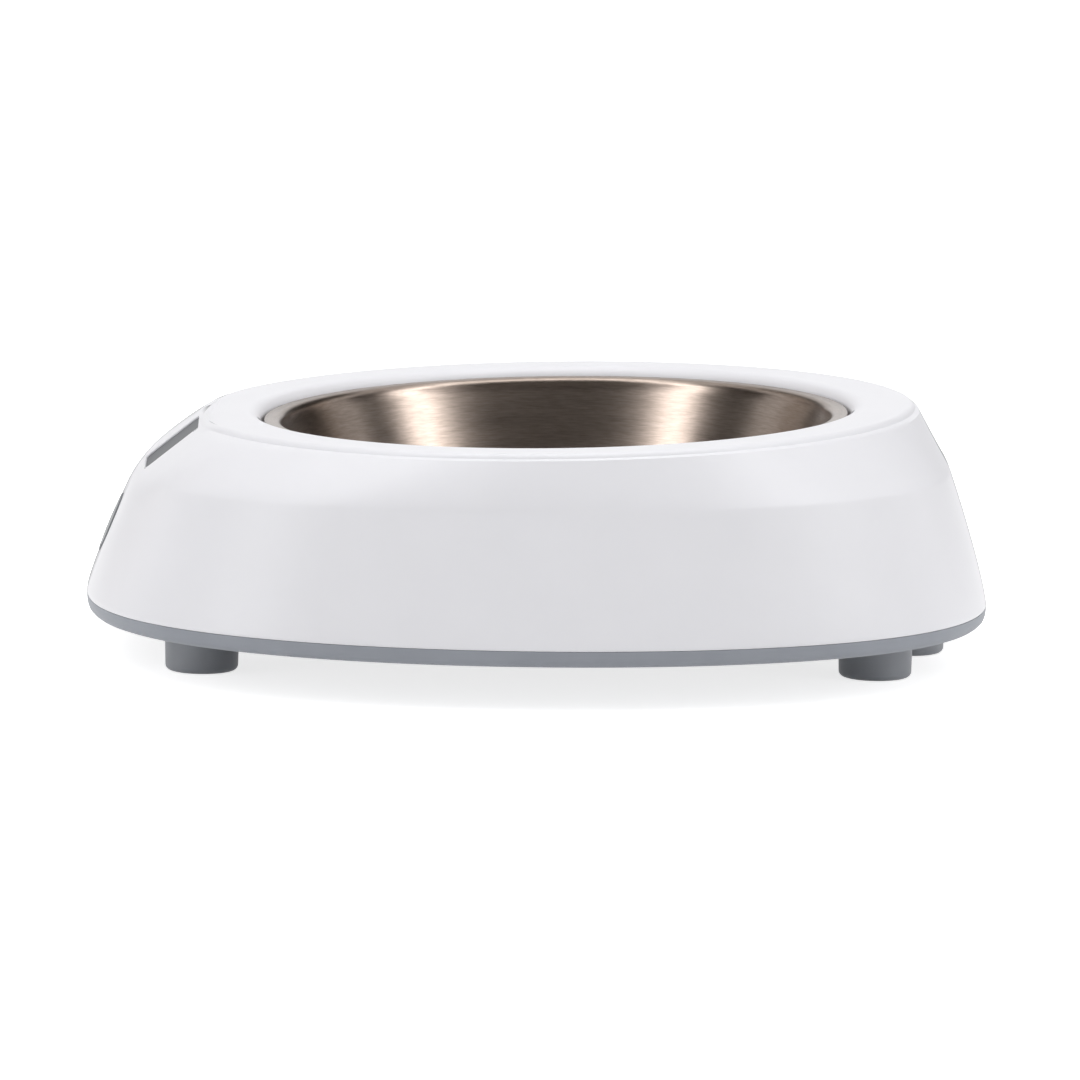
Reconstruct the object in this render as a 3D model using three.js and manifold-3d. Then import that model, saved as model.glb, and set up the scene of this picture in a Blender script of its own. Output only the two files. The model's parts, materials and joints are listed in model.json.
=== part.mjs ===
// Weighing pet bowl: a steel bowl that stands on a weigh tray and load cell
// in a white housing over a grey base with rubber feet.
// Millimetres, +Z up. The origin is on the floor under the middle of the base.
// The display and the button face -X, the raised back of the ring is at +X.

import * as THREE from 'three';
import { mergeVertices } from 'three/addons/utils/BufferGeometryUtils.js';
import Module from 'manifold-3d';

const wasm = await Module();
wasm.setup();

// Body outline at the seam between the base and the housing
const baseLength = 200;
const baseWidth = 177;
const footHeight = 9.6;
const baseRimHeight = 3.6;
const seamGap = 0.2;

// Top ring, tilted up towards the back, as shares of the base
const ringHeight = 54.6;
const ringLengthShare = 0.8;
const ringWidthShare = 0.8768;
const ringShiftShare = 0.01925;
const ringTilt = 0.026;
const ringEdgeRadius = 1.5;

// Soft crease between the bands, a little behind the middle
const creaseLengthShare = 0.9007;
const creaseWidthShare = 0.925;
const creaseHeightShare = 0.7015;
const creaseShiftShare = 0.00565;

// Shape of the outline, and of the bands at the front, the sides and the back
const lengthPower = 2;
const basePower = 2.8;
const creasePower = 3.06;
const ringPower = 2;
const lowerFrontPower = 1.12;
const lowerSidePower = 1.12;
const lowerBackPower = 1.19;
const upperFrontPower = 1.78;
const upperSidePower = 1.24;
const upperBackPower = 0.95;

// Housing wall, lip and bowl well
const wall = 2.4;
const facetWall = 2;
const lipRadius = 3;
const openingShare = 0.42333;
const wellWall = 1.8;
const wellCollar = 8;
const wellFloorLevel = 21.2;
const wellTaper = 10.7;
const wellCornerRun = 2.5;
const wellCornerRise = 2.6;
const wellSideRoom = 4.3;

// Clearances
const seatGap = 0.1;
const turnedGap = 0.3;
const cutOverrun = 1;

// Steel bowl
const flangeGap = 0.7;
const flangeDrop = 1.95;
const flangeEdge = 1.2;
const bowlSheet = 0.7;
const bowlShoulder = 1.6;
const flangeWidth = 3.8;
const bowlSideGap = 1.4;
const bowlCornerRadius = 9;

// Weigh tray and its pads
const traySideGap = 5;
const trayPlate = 1.8;
const trayFloorGap = 1;
const trayRib = 1.2;
const trayRibHeight = 1.2;
const padRadius = 5;
const padThickness = 1.1;
const padSink = 0.5;
const padInset = 12;
const padCount = 3;

// Load cell: a bar with a waist, fixed at the front end
const cellLength = 47;
const cellWidth = 12;
const cellHeight = 6;
const cellHoleRadius = 3.6;
const cellHoleSpacing = 8;
const cellScrewSpacing = 7;
const cellScrewInset = 4;
const cellPadLength = 15;
const cellBossHeight = 0.6;

// Small screws of the load cell
const cellScrewRadius = 1.25;
const cellScrewHole = 1.45;
const cellScrewHead = 2.7;
const cellScrewHeadHeight = 1.2;
const cellScrewWell = 3;
const cellThread = 3;

// Base shell
const baseFloor = 2;
const baseRimWall = 3.2;
const tongueWall = 1.6;
const tongueHeight = 2;
const bandInset = 0.35;
const bandLow = 1.3;
const bandEdge = 3.2;
const bandEdgeRise = 0.35;

// Rubber feet
const footRadius = 8.2;
const footDraft = 0.2;
const footEdge = 1.8;
const footPocket = 1;
const footPocketGap = 0.15;
const footPegRadius = 2;
const footPegRise = 2.2;
const footBarbRadius = 2.7;
const footBarbRise = 1.2;
const footEndInset = 26;
const footSideInset = 53.9;
const footCentreInset = 16.6;

// Housing screws, from below through the base bosses into the posts
const postLengthShare = 0.285;
const postWidthShare = 0.322;
const postRadius = 3.6;
const bossRadius = 4.6;
const bossHeight = 5.4;
const screwRadius = 1.5;
const screwHole = 1.75;
const screwPilot = 1.6;
const screwHead = 2.8;
const screwHeadHeight = 2.2;
const screwWell = 3.3;
const screwWellDepth = 4.4;
const screwReach = 8;

// Display facet: a slightly crowned slope across the front shoulder
const facetSlope = THREE.MathUtils.degToRad(38.65);
const facetLengthShare = 0.4082;
const facetHeightShare = 0.2676;
const facetRadius = 400;
const facetBlend = 2.6;

// Display pieces, from the facet inwards
const windowWidth = 21.4;
const windowHeight = 15;
const windowLip = 0.6;
const windowCorner = 1.8;
const lensThickness = 1.2;
const lensBorder = 1.6;
const frameThickness = 1.4;
const frameBorder = 1.4;
const frameLedge = 2.2;
const moduleThickness = 2.2;
const moduleWidth = 23;
const moduleHeight = 18;
const boardThickness = 1.2;
const displayBoardWidth = 42;
const displayBoardHeight = 18;
const displayPostSpacing = 36;
const displayPostRadius = 2.3;

// Button pieces, from the front wall inwards
const buttonHeightShare = 0.507;
const buttonRadius = 5.9;
const buttonDome = 0.4;
const buttonProud = 0.2;
const buttonSkirt = 1.1;
const buttonCollar = 7;
const buttonCollarDepth = 5.8;
const buttonStemRadius = 1.6;
const buttonStemDepth = 8;
const buttonTravel = 0.6;
const ringWall = 0.8;
const ringGap = 0.2;
const ringFlange = 1.2;
const ringFlangeDepth = 3.1;
const ringDepth = 4.2;
const ringProud = 0.25;
const switchSize = 6;
const switchHeight = 3.6;
const switchWell = 1.2;
const plungerRadius = 1.5;
const plungerStand = 0.9;
const buttonBoardWidth = 27;
const buttonBoardHeight = 12;
const buttonPostSpacing = 20.5;
const buttonPostRadius = 2.1;

// Board screws
const boardScrewRadius = 0.9;
const boardScrewHole = 1.1;
const boardScrewPilot = 1;
const boardScrewHead = 1.8;
const boardScrewHeadHeight = 1.1;
const boardScrewReach = 3.6;
const boardPilotDepth = 4.4;

// Main board over the near side of the base
const mainBoardLength = 50;
const mainBoardWidth = 20;
const mainBoardInset = 7.9;
const mainBoardPost = 2.4;
const mainBoardPostHeight = 3;
const mainBoardScrewInset = 4;

// Battery box over the far side of the base
const batteryRadius = 5.2;
const batteryLength = 43.5;
const batteryNubRadius = 1.9;
const batteryNubHeight = 1;
const batterySpacing = 10.9;
const batteryEndRoom = 8.1;
const batterySideRoom = 0.9;
const boxOuterRoom = 0.6;
const boxWall = 1.2;
const boxHeight = 5.6;
const boxInset = 6.4;
const plateThickness = 0.5;
const plateHeight = 7;
const plateBump = 0.7;
const springRadius = 3;
const springWire = 0.3;
const springCoils = 4;

// Battery door, hinged by two tabs at its inner edge
const doorThickness = 1.4;
const doorGap = 0.3;
const doorTabWidth = 8;
const doorTabSpacing = 30;
const doorTabReach = 2.2;
const doorTabThickness = 0.8;
const doorTabNeck = 1.2;
const doorLatchWidth = 10;
const doorLatchWall = 1;
const doorLatchHeight = 1.6;
const doorLatchGap = 0.6;
const notchGap = 0.6;
const notchHeight = 3.2;
const gripWidth = 12;
const gripDepth = 0.6;

// Chips and sockets on the main board
const controllerSize = 8;
const weighingChipLength = 9;
const weighingChipWidth = 4;
const chipHeight = 1.3;
const capacitorRadius = 2.5;
const capacitorHeight = 5;
const socketLength = 7;
const socketWidth = 4.4;
const socketHeight = 4;

// Inner leads
const leadRadius = 0.9;
const leadFloorGap = 0.9;
const leadSway = 6;
const leadSides = 6;
const leadSteps = 12;

// Facets of the round shapes
const outlineSides = 60;
const bowlSides = 44;
const roundSides = 16;
const screwSides = 8;
const smallSides = 10;
const cornerSides = 3;
const bandSteps = 3;

// Levels worked out from the sizes above
const baseUnderside = footHeight;
const baseFloorTop = baseUnderside + baseFloor;
const rimTop = baseUnderside + baseRimHeight;
const seamHeight = rimTop + seamGap;
const cellBottom = baseFloorTop + cellBossHeight + seatGap;
const cellTop = cellBottom + cellHeight;
const creaseHeight = THREE.MathUtils.lerp(seamHeight, ringHeight, creaseHeightShare);
const facetX = -facetLengthShare * baseLength;
const facetZ = THREE.MathUtils.lerp(creaseHeight, ringHeight, facetHeightShare);
const buttonHeight = THREE.MathUtils.lerp(seamHeight, creaseHeight, buttonHeightShare);
const wellDepth = ringHeight - wellFloorLevel;

// Plan sizes worked out from the sizes above
const ringLength = ringLengthShare * baseLength;
const ringWidth = ringWidthShare * baseWidth;
const ringShift = ringShiftShare * baseLength;
const boxOuterY = baseWidth / 2 - boxInset;
const boxLength = batteryLength + batteryNubHeight + batteryEndRoom;
const batteryLastY = boxOuterY - boxOuterRoom - batteryRadius;
const batteryFirstY = batteryLastY - batterySpacing;
const boxInnerY = batteryFirstY - batteryRadius - batterySideRoom;
const openingRadius = openingShare * Math.min(ringLength, ringWidth);
const wellFloorRadius = Math.min(openingRadius - wellTaper, boxInnerY - wellSideRoom);
const wellCornerRadius = wellFloorRadius + wellCornerRun;
const flangeRadius = openingRadius - flangeGap;
const bowlTopRadius = flangeRadius - flangeWidth;
const bowlBottomRadius = wellFloorRadius - bowlSideGap;
const trayRadius = wellFloorRadius - traySideGap;
const padCircle = trayRadius - padInset;
const footX = baseLength / 2 - footEndInset;
const footY = baseWidth / 2 - footSideInset;
const footCentreX = baseLength / 2 - footCentreInset;
const postX = postLengthShare * baseLength;
const postY = postWidthShare * baseWidth;
const mainBoardY = -baseWidth / 2 + mainBoardInset + mainBoardWidth / 2;
const mainBoardScrewSpacing = mainBoardLength - 2 * mainBoardScrewInset;

const white = { color: 0xeeeef0, roughness: 0.25, metalness: 0 };
const grey = { color: 0x8a8e96, roughness: 0.5, metalness: 0 };
const rubber = { color: 0x63666b, roughness: 0.8, metalness: 0 };
const steel = { color: 0xb5aea8, roughness: 0.3, metalness: 1 };
const aluminium = { color: 0xb9bdc2, roughness: 0.4, metalness: 1 };
const zinc = { color: 0x9a9da3, roughness: 0.35, metalness: 1 };
const buttonGrey = { color: 0xb8bbbe, roughness: 0.4, metalness: 0 };
const darkGrey = { color: 0x6c7076, roughness: 0.5, metalness: 0 };
const lensDark = { color: 0x26292e, roughness: 0.1, metalness: 0 };
const displayGrey = { color: 0x8c9a8a, roughness: 0.2, metalness: 0 };
const boardGreen = { color: 0x1f5a3a, roughness: 0.5, metalness: 0 };
const chipBlack = { color: 0x17181a, roughness: 0.5, metalness: 0 };
const socketWhite = { color: 0xe4e0d2, roughness: 0.6, metalness: 0 };
const leadBlack = { color: 0x202124, roughness: 0.6, metalness: 0 };
const cellWrap = { color: 0x2c3f57, roughness: 0.4, metalness: 0 };
const trayWhite = { color: 0xd9dadd, roughness: 0.5, metalness: 0 };

const object = new THREE.Group();

// Adds a named piece to the object, or to one of its turned groups
function addPiece(name, geometry, finish, holder = object) {
  const mesh = new THREE.Mesh(geometry, new THREE.MeshStandardMaterial(finish));
  mesh.name = name;
  holder.add(mesh);
  return mesh;
}

// Closed mesh to solid, and solid back to mesh
function solidOf(geometry) {
  const plain = geometry.clone();
  plain.deleteAttribute('normal');
  plain.deleteAttribute('uv');
  const merged = mergeVertices(plain);
  const vertProperties = new Float32Array(merged.attributes.position.array);
  const triVerts = new Uint32Array(merged.index.array);
  return new wasm.Manifold(new wasm.Mesh({ numProp: 3, vertProperties, triVerts }));
}

function geometryOf(solid) {
  const mesh = solid.getMesh();
  const geometry = new THREE.BufferGeometry();
  geometry.setAttribute('position', new THREE.BufferAttribute(mesh.vertProperties, mesh.numProp));
  geometry.setIndex(new THREE.BufferAttribute(mesh.triVerts, 1));
  geometry.computeVertexNormals();
  return geometry;
}

// Box between two corners
function block(low, high) {
  const size = high.map((value, axis) => value - low[axis]);
  const middle = high.map((value, axis) => (value + low[axis]) / 2);
  return new THREE.BoxGeometry(...size).translate(...middle);
}

// Upright block with rounded corners, centred on Z
function roundedBlock(length, width, radius, low, high) {
  const x = length / 2 - radius;
  const y = width / 2 - radius;
  const shape = new THREE.Shape();
  shape.absarc(x, y, radius, 0, Math.PI / 2);
  shape.absarc(-x, y, radius, Math.PI / 2, Math.PI);
  shape.absarc(-x, -y, radius, Math.PI, 1.5 * Math.PI);
  shape.absarc(x, -y, radius, 1.5 * Math.PI, 2 * Math.PI);
  const settings = { depth: high - low, bevelEnabled: false, curveSegments: cornerSides };
  return new THREE.ExtrudeGeometry(shape, settings).translate(0, 0, low);
}

// Upright cylinder from one height to another
function post(x, y, radius, low, high, sides = smallSides) {
  const cylinder = new THREE.CylinderGeometry(radius, radius, high - low, sides);
  return cylinder.rotateX(Math.PI / 2).translate(x, y, (low + high) / 2);
}

// Turned shape about Z from [radius, height] points, counted from the bottom on the axis
function turned(profile, sides = roundSides) {
  const points = profile.map(([radius, height]) => new THREE.Vector2(radius, height));
  return new THREE.LatheGeometry(points, sides).rotateX(Math.PI / 2);
}

// Closed skin over rings of points. The first and last ring are closed by a fan.
function loft(rings) {
  const count = rings[0].length;
  const positions = [];
  const indices = [];
  const middle = (ring) => ring.reduce((sum, p) => sum.add(p), new THREE.Vector3()).divideScalar(count);
  for (const ring of rings) {
    for (const point of ring) {
      positions.push(point.x, point.y, point.z);
    }
  }
  for (let level = 0; level < rings.length - 1; level++) {
    for (let side = 0; side < count; side++) {
      const next = (side + 1) % count;
      const a = level * count + side;
      const b = level * count + next;
      const c = (level + 1) * count + next;
      const d = (level + 1) * count + side;
      indices.push(a, b, c, a, c, d);
    }
  }
  const firstMiddle = rings.length * count;
  const lastMiddle = firstMiddle + 1;
  const lastStart = (rings.length - 1) * count;
  for (const ring of [rings[0], rings[rings.length - 1]]) {
    positions.push(...middle(ring).toArray());
  }
  for (let side = 0; side < count; side++) {
    const next = (side + 1) % count;
    indices.push(firstMiddle, next, side);
    indices.push(lastMiddle, lastStart + side, lastStart + next);
  }
  const geometry = new THREE.BufferGeometry();
  geometry.setAttribute('position', new THREE.Float32BufferAttribute(positions, 3));
  geometry.setIndex(indices);
  geometry.computeVertexNormals();
  return geometry;
}

// The three outlines that the body runs through
const seamOutline = {
  length: baseLength, width: baseWidth, height: seamHeight,
  shift: 0, power: basePower, tilt: 0,
};
const creaseOutline = {
  length: creaseLengthShare * baseLength, width: creaseWidthShare * baseWidth, height: creaseHeight,
  shift: creaseShiftShare * baseLength, power: creasePower, tilt: ringTilt / 2,
};
const ringOutline = {
  length: ringLength, width: ringWidth, height: ringHeight,
  shift: ringShift, power: ringPower, tilt: ringTilt,
};

const lowerPowers = { front: lowerFrontPower, side: lowerSidePower, back: lowerBackPower };
const upperPowers = { front: upperFrontPower, side: upperSidePower, back: upperBackPower };

// Outline between two others; each end and the sides draw in at a rate of their own
function between(low, high, share, powers) {
  const mix = THREE.MathUtils.lerp;
  const inset = Math.max(share, 0);
  const front = mix(low.shift - low.length / 2, high.shift - high.length / 2, inset ** powers.front);
  const back = mix(low.shift + low.length / 2, high.shift + high.length / 2, inset ** powers.back);
  return {
    length: back - front,
    width: mix(low.width, high.width, inset ** powers.side),
    shift: (front + back) / 2,
    height: mix(low.height, high.height, share),
    tilt: mix(low.tilt, high.tilt, share),
    power: mix(low.power, high.power, share),
  };
}

// Outline of the body at a height
function outlineAt(height) {
  if (height <= creaseOutline.height) {
    const share = (height - seamOutline.height) / (creaseOutline.height - seamOutline.height);
    return between(seamOutline, creaseOutline, share, lowerPowers);
  }
  const share = (height - creaseOutline.height) / (ringOutline.height - creaseOutline.height);
  return between(creaseOutline, ringOutline, share, upperPowers);
}

// Distance from the middle of a rounded outline to its edge, at an angle
function edgeDistance(angle, halfLength, halfWidth, power) {
  let low = 0;
  let high = halfLength + halfWidth;
  const across = Math.abs(Math.cos(angle)) / halfLength;
  const along = Math.abs(Math.sin(angle)) / halfWidth;
  const halvings = 40;
  for (let step = 0; step < halvings; step++) {
    const distance = (low + high) / 2;
    const value = (distance * across) ** lengthPower + (distance * along) ** power;
    if (value < 1) {
      low = distance;
    } else {
      high = distance;
    }
  }
  return (low + high) / 2;
}

// Presses a point that stands above the display facet down to it, with a soft edge
const facetNormal = new THREE.Vector3(-Math.sin(facetSlope), 0, Math.cos(facetSlope));
const facetCentre = new THREE.Vector3(facetX, 0, facetZ);

function pressToFacet(point, depth) {
  const crown = (point.y ** 2 / (2 * facetRadius)) * Math.sin(facetSlope);
  const above = point.clone().sub(facetCentre).dot(facetNormal) + crown + depth;
  let push = Math.max(above, 0);
  if (Math.abs(above) < facetBlend) {
    push = (above + facetBlend) ** 2 / (4 * facetBlend);
  }
  return point.addScaledVector(facetNormal, -push);
}

const outlineAngles = Array.from({ length: outlineSides }, (_, side) => (side / outlineSides) * 2 * Math.PI);

// Ring of points round the body at a height, drawn in by an inset and pressed to the facet
function bodyRing(height, inset, drop = 0, facetDepth = 0) {
  const outline = outlineAt(height);
  return outlineAngles.map((angle) => {
    const halfLength = outline.length / 2 - inset;
    const halfWidth = outline.width / 2 - inset;
    const distance = edgeDistance(angle, halfLength, halfWidth, outline.power);
    const fromMiddle = distance * Math.cos(angle);
    const z = outline.height - drop + outline.tilt * fromMiddle;
    const point = new THREE.Vector3(outline.shift + fromMiddle, distance * Math.sin(angle), z);
    return pressToFacet(point, facetDepth);
  });
}

// Round ring of points about the tilted axis of the opening
const tiltAngle = Math.atan(ringTilt);
const openingCentre = new THREE.Vector3(ringShift, 0, ringHeight);

function openingRing(radius, depth) {
  return outlineAngles.map((angle) => {
    const point = new THREE.Vector3(radius * Math.cos(angle), radius * Math.sin(angle), -depth);
    return point.applyAxisAngle(new THREE.Vector3(0, 1, 0), -tiltAngle).add(openingCentre);
  });
}

// Ring between the outline of the top ring and the round opening
function blendRing(outer, inner, share, drop, facetDepth) {
  return outer.map((point, side) => {
    const mixed = point.clone().lerp(inner[side], share);
    mixed.z = mixed.z - drop;
    return pressToFacet(mixed, facetDepth);
  });
}

// Heights of the rings over the lower and upper bands
function bandHeights(low, high, steps) {
  return Array.from({ length: steps }, (_, step) => low + ((high - low) * step) / steps);
}

// Outer skin of the housing from the seam to the lip
function outerRings() {
  const edgeShare = 1 - Math.SQRT1_2;
  const lipStart = openingRadius + lipRadius;
  const heights = [
    ...bandHeights(seamHeight, creaseHeight, bandSteps),
    ...bandHeights(creaseHeight, ringHeight - ringEdgeRadius, bandSteps),
    ringHeight - ringEdgeRadius,
  ];
  const rings = heights.map((height) => bodyRing(height, 0));
  rings.push(bodyRing(ringHeight, ringEdgeRadius * edgeShare, ringEdgeRadius * edgeShare));
  const flatStart = bodyRing(ringHeight, ringEdgeRadius);
  const flatEnd = openingRing(lipStart, 0);
  const flatShares = [0, 0.35, 0.7];
  for (const share of flatShares) {
    rings.push(blendRing(flatStart, flatEnd, share, 0, 0));
  }
  rings.push(flatEnd);
  return rings;
}

// Bowl well of the housing: the lip, the collar, the cone and the floor
function wellRings() {
  const lipShare = 1 - Math.SQRT1_2;
  return [
    openingRing(openingRadius + lipRadius * lipShare, lipRadius * lipShare),
    openingRing(openingRadius, lipRadius),
    openingRing(openingRadius, wellCollar),
    openingRing(wellCornerRadius, wellDepth - wellCornerRise),
    openingRing(wellFloorRadius, wellDepth),
  ];
}

// Hidden side of the housing, from under the well floor to the inside of the seam
function innerRings() {
  const roof = ringHeight - wall;
  const collarOuter = openingRadius + wellWall;
  const roofStart = openingRing(collarOuter + lipRadius, wall);
  const roofEnd = bodyRing(roof, wall);
  const rings = [
    openingRing(wellFloorRadius, wellDepth + wellWall),
    openingRing(wellCornerRadius + wellWall, wellDepth - wellCornerRise),
    openingRing(collarOuter, wellCollar),
    openingRing(collarOuter, wall + lipRadius),
    roofStart.map((point) => pressToFacet(point, facetWall)),
    roofEnd.map((point) => pressToFacet(point, facetWall)),
  ];
  const heights = [
    ...bandHeights(seamHeight, creaseHeight, bandSteps),
    ...bandHeights(creaseHeight, roof, bandSteps),
  ];
  for (const height of heights.reverse()) {
    rings.push(bodyRing(height, wall, 0, facetWall));
  }
  return rings;
}

// Directions and places in the turned groups of the display and the button
function turnedGroup(origin, slope) {
  const group = new THREE.Group();
  const up = new THREE.Vector3(Math.cos(slope), 0, Math.sin(slope));
  const across = new THREE.Vector3(0, 1, 0);
  const out = new THREE.Vector3(-Math.sin(slope), 0, Math.cos(slope));
  group.matrix.makeBasis(up, across, out).setPosition(origin);
  group.matrix.decompose(group.position, group.quaternion, group.scale);
  group.updateMatrix();
  object.add(group);
  return group;
}

const displayGroup = turnedGroup(facetCentre, facetSlope);

// Foremost point of the body at a height
function frontPoint(height) {
  const outline = outlineAt(height);
  const half = outline.length / 2;
  return new THREE.Vector3(outline.shift - half, 0, outline.height - outline.tilt * half);
}

const buttonLow = frontPoint(buttonHeight - buttonRadius);
const buttonHigh = frontPoint(buttonHeight + buttonRadius);
const buttonSlope = Math.atan2(buttonHigh.z - buttonLow.z, buttonHigh.x - buttonLow.x);
const buttonGroup = turnedGroup(frontPoint(buttonHeight), buttonSlope);

const tiltedGroup = new THREE.Group();
tiltedGroup.position.copy(openingCentre);
tiltedGroup.rotation.y = -tiltAngle;
tiltedGroup.updateMatrix();
object.add(tiltedGroup);

// Solid in a turned group's own places, moved to the object's
function placed(geometry, group) {
  return solidOf(geometry.applyMatrix4(group.matrix));
}

const postPlaces = [[-postX, -postY], [postX, -postY], [-postX, postY], [postX, postY]];
const displayPosts = [-displayPostSpacing / 2, displayPostSpacing / 2];
const buttonPosts = [-buttonPostSpacing / 2, buttonPostSpacing / 2];

// Depths of the display pieces below the facet
const lensTop = windowLip + seatGap;
const frameTop = lensTop + lensThickness + turnedGap;
const moduleTop = frameTop + frameThickness + turnedGap;
const displayBoardTop = moduleTop + moduleThickness + turnedGap;

const lensHeight = windowHeight + 2 * lensBorder;
const lensWidth = windowWidth + 2 * lensBorder;
const frameHeight = lensHeight + 2 * frameBorder;
const frameWidth = lensWidth + 2 * frameBorder;

// Radii and depths of the button pieces, below the wall's surface
const ringInner = buttonRadius + ringGap;
const ringOuter = ringInner + ringWall;
const plungerTop = buttonStemDepth + turnedGap;
const switchTop = plungerTop + plungerStand;
const buttonBoardTop = switchTop + switchHeight + turnedGap;

// Load cell ends along X, under the middle of the opening
const cellFront = ringShift - cellLength / 2;
const cellBack = ringShift + cellLength / 2;
const bossLength = cellPadLength - 1.5 * seatGap;
const frontScrews = [cellFront + cellScrewInset, cellFront + cellScrewInset + cellScrewSpacing];
const backScrews = [cellBack - cellScrewInset - cellScrewSpacing, cellBack - cellScrewInset];

// White shell with the bowl well, posts for the boards and screws, and the openings
function makeHousing() {
  const outer = outerRings();
  let shell = solidOf(loft([...innerRings(), ...outer, ...wellRings()]));
  const outside = solidOf(loft(outer)).translate(0, 0, -wall / 4);
  for (const [x, y] of postPlaces) {
    const pillar = solidOf(post(x, y, postRadius, baseUnderside + bossHeight + seatGap + baseFloor, ringHeight));
    shell = shell.add(pillar.intersect(outside));
  }
  for (const y of displayPosts) {
    const pillar = post(0, y, displayPostRadius, -displayBoardTop + turnedGap, wall);
    shell = shell.add(placed(pillar, displayGroup).intersect(outside));
  }
  for (const y of buttonPosts) {
    const pillar = post(0, y, buttonPostRadius, -buttonBoardTop + turnedGap, 0);
    shell = shell.add(placed(pillar, buttonGroup).intersect(outside));
  }
  for (const [x, y] of postPlaces) {
    const low = baseFloorTop;
    const high = baseUnderside + screwWellDepth + screwReach + screwReach / 2;
    shell = shell.subtract(solidOf(post(x, y, screwPilot, low, high)));
  }
  for (const y of displayPosts) {
    const pilot = post(0, y, boardScrewPilot, -displayBoardTop - cutOverrun, -displayBoardTop + boardPilotDepth);
    shell = shell.subtract(placed(pilot, displayGroup));
  }
  for (const y of buttonPosts) {
    const pilot = post(0, y, boardScrewPilot, -buttonBoardTop - cutOverrun, -buttonBoardTop + boardPilotDepth);
    shell = shell.subtract(placed(pilot, buttonGroup));
  }
  const windowCut = roundedBlock(windowHeight, windowWidth, windowCorner, -frameTop, cutOverrun);
  shell = shell.subtract(placed(windowCut, displayGroup));
  const rebateHeight = windowHeight + 2 * (lensBorder + turnedGap);
  const rebateWidth = windowWidth + 2 * (lensBorder + turnedGap);
  const rebate = roundedBlock(rebateHeight, rebateWidth, windowCorner, -frameTop, -windowLip);
  shell = shell.subtract(placed(rebate, displayGroup));
  const seatLength = frameHeight + 2 * turnedGap;
  const seatWidth = frameWidth + 2 * turnedGap;
  const frameSeat = roundedBlock(seatLength, seatWidth, windowCorner, -moduleTop, -frameTop + turnedGap);
  shell = shell.subtract(placed(frameSeat, displayGroup));
  const moduleRoom = block(
    [-moduleHeight / 2 - turnedGap, -moduleWidth / 2 - turnedGap, -displayBoardTop],
    [moduleHeight / 2 + turnedGap, moduleWidth / 2 + turnedGap, -moduleTop + turnedGap],
  );
  shell = shell.subtract(placed(moduleRoom, displayGroup));
  const buttonCut = post(0, 0, ringOuter + ringGap, -wall - cutOverrun, cutOverrun, roundSides);
  shell = shell.subtract(placed(buttonCut, buttonGroup));
  const seatRadius = ringOuter + ringFlange + turnedGap;
  const seatTop = -ringFlangeDepth + turnedGap;
  const ringSeat = post(0, 0, seatRadius, -ringDepth - turnedGap, seatTop, roundSides);
  shell = shell.subtract(placed(ringSeat, buttonGroup));
  const floorLow = ringHeight - wellDepth - wellWall - cutOverrun;
  const stemGap = 2 * cutOverrun;
  const stemCut = block(
    [cellBack - bossLength - stemGap, -cellWidth / 2 - stemGap, floorLow - cutOverrun],
    [cellBack + stemGap, cellWidth / 2 + stemGap, floorLow + wellWall + 3 * cutOverrun],
  );
  return geometryOf(shell.subtract(solidOf(stemCut)));
}

addPiece('top_housing', makeHousing(), white);

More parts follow.
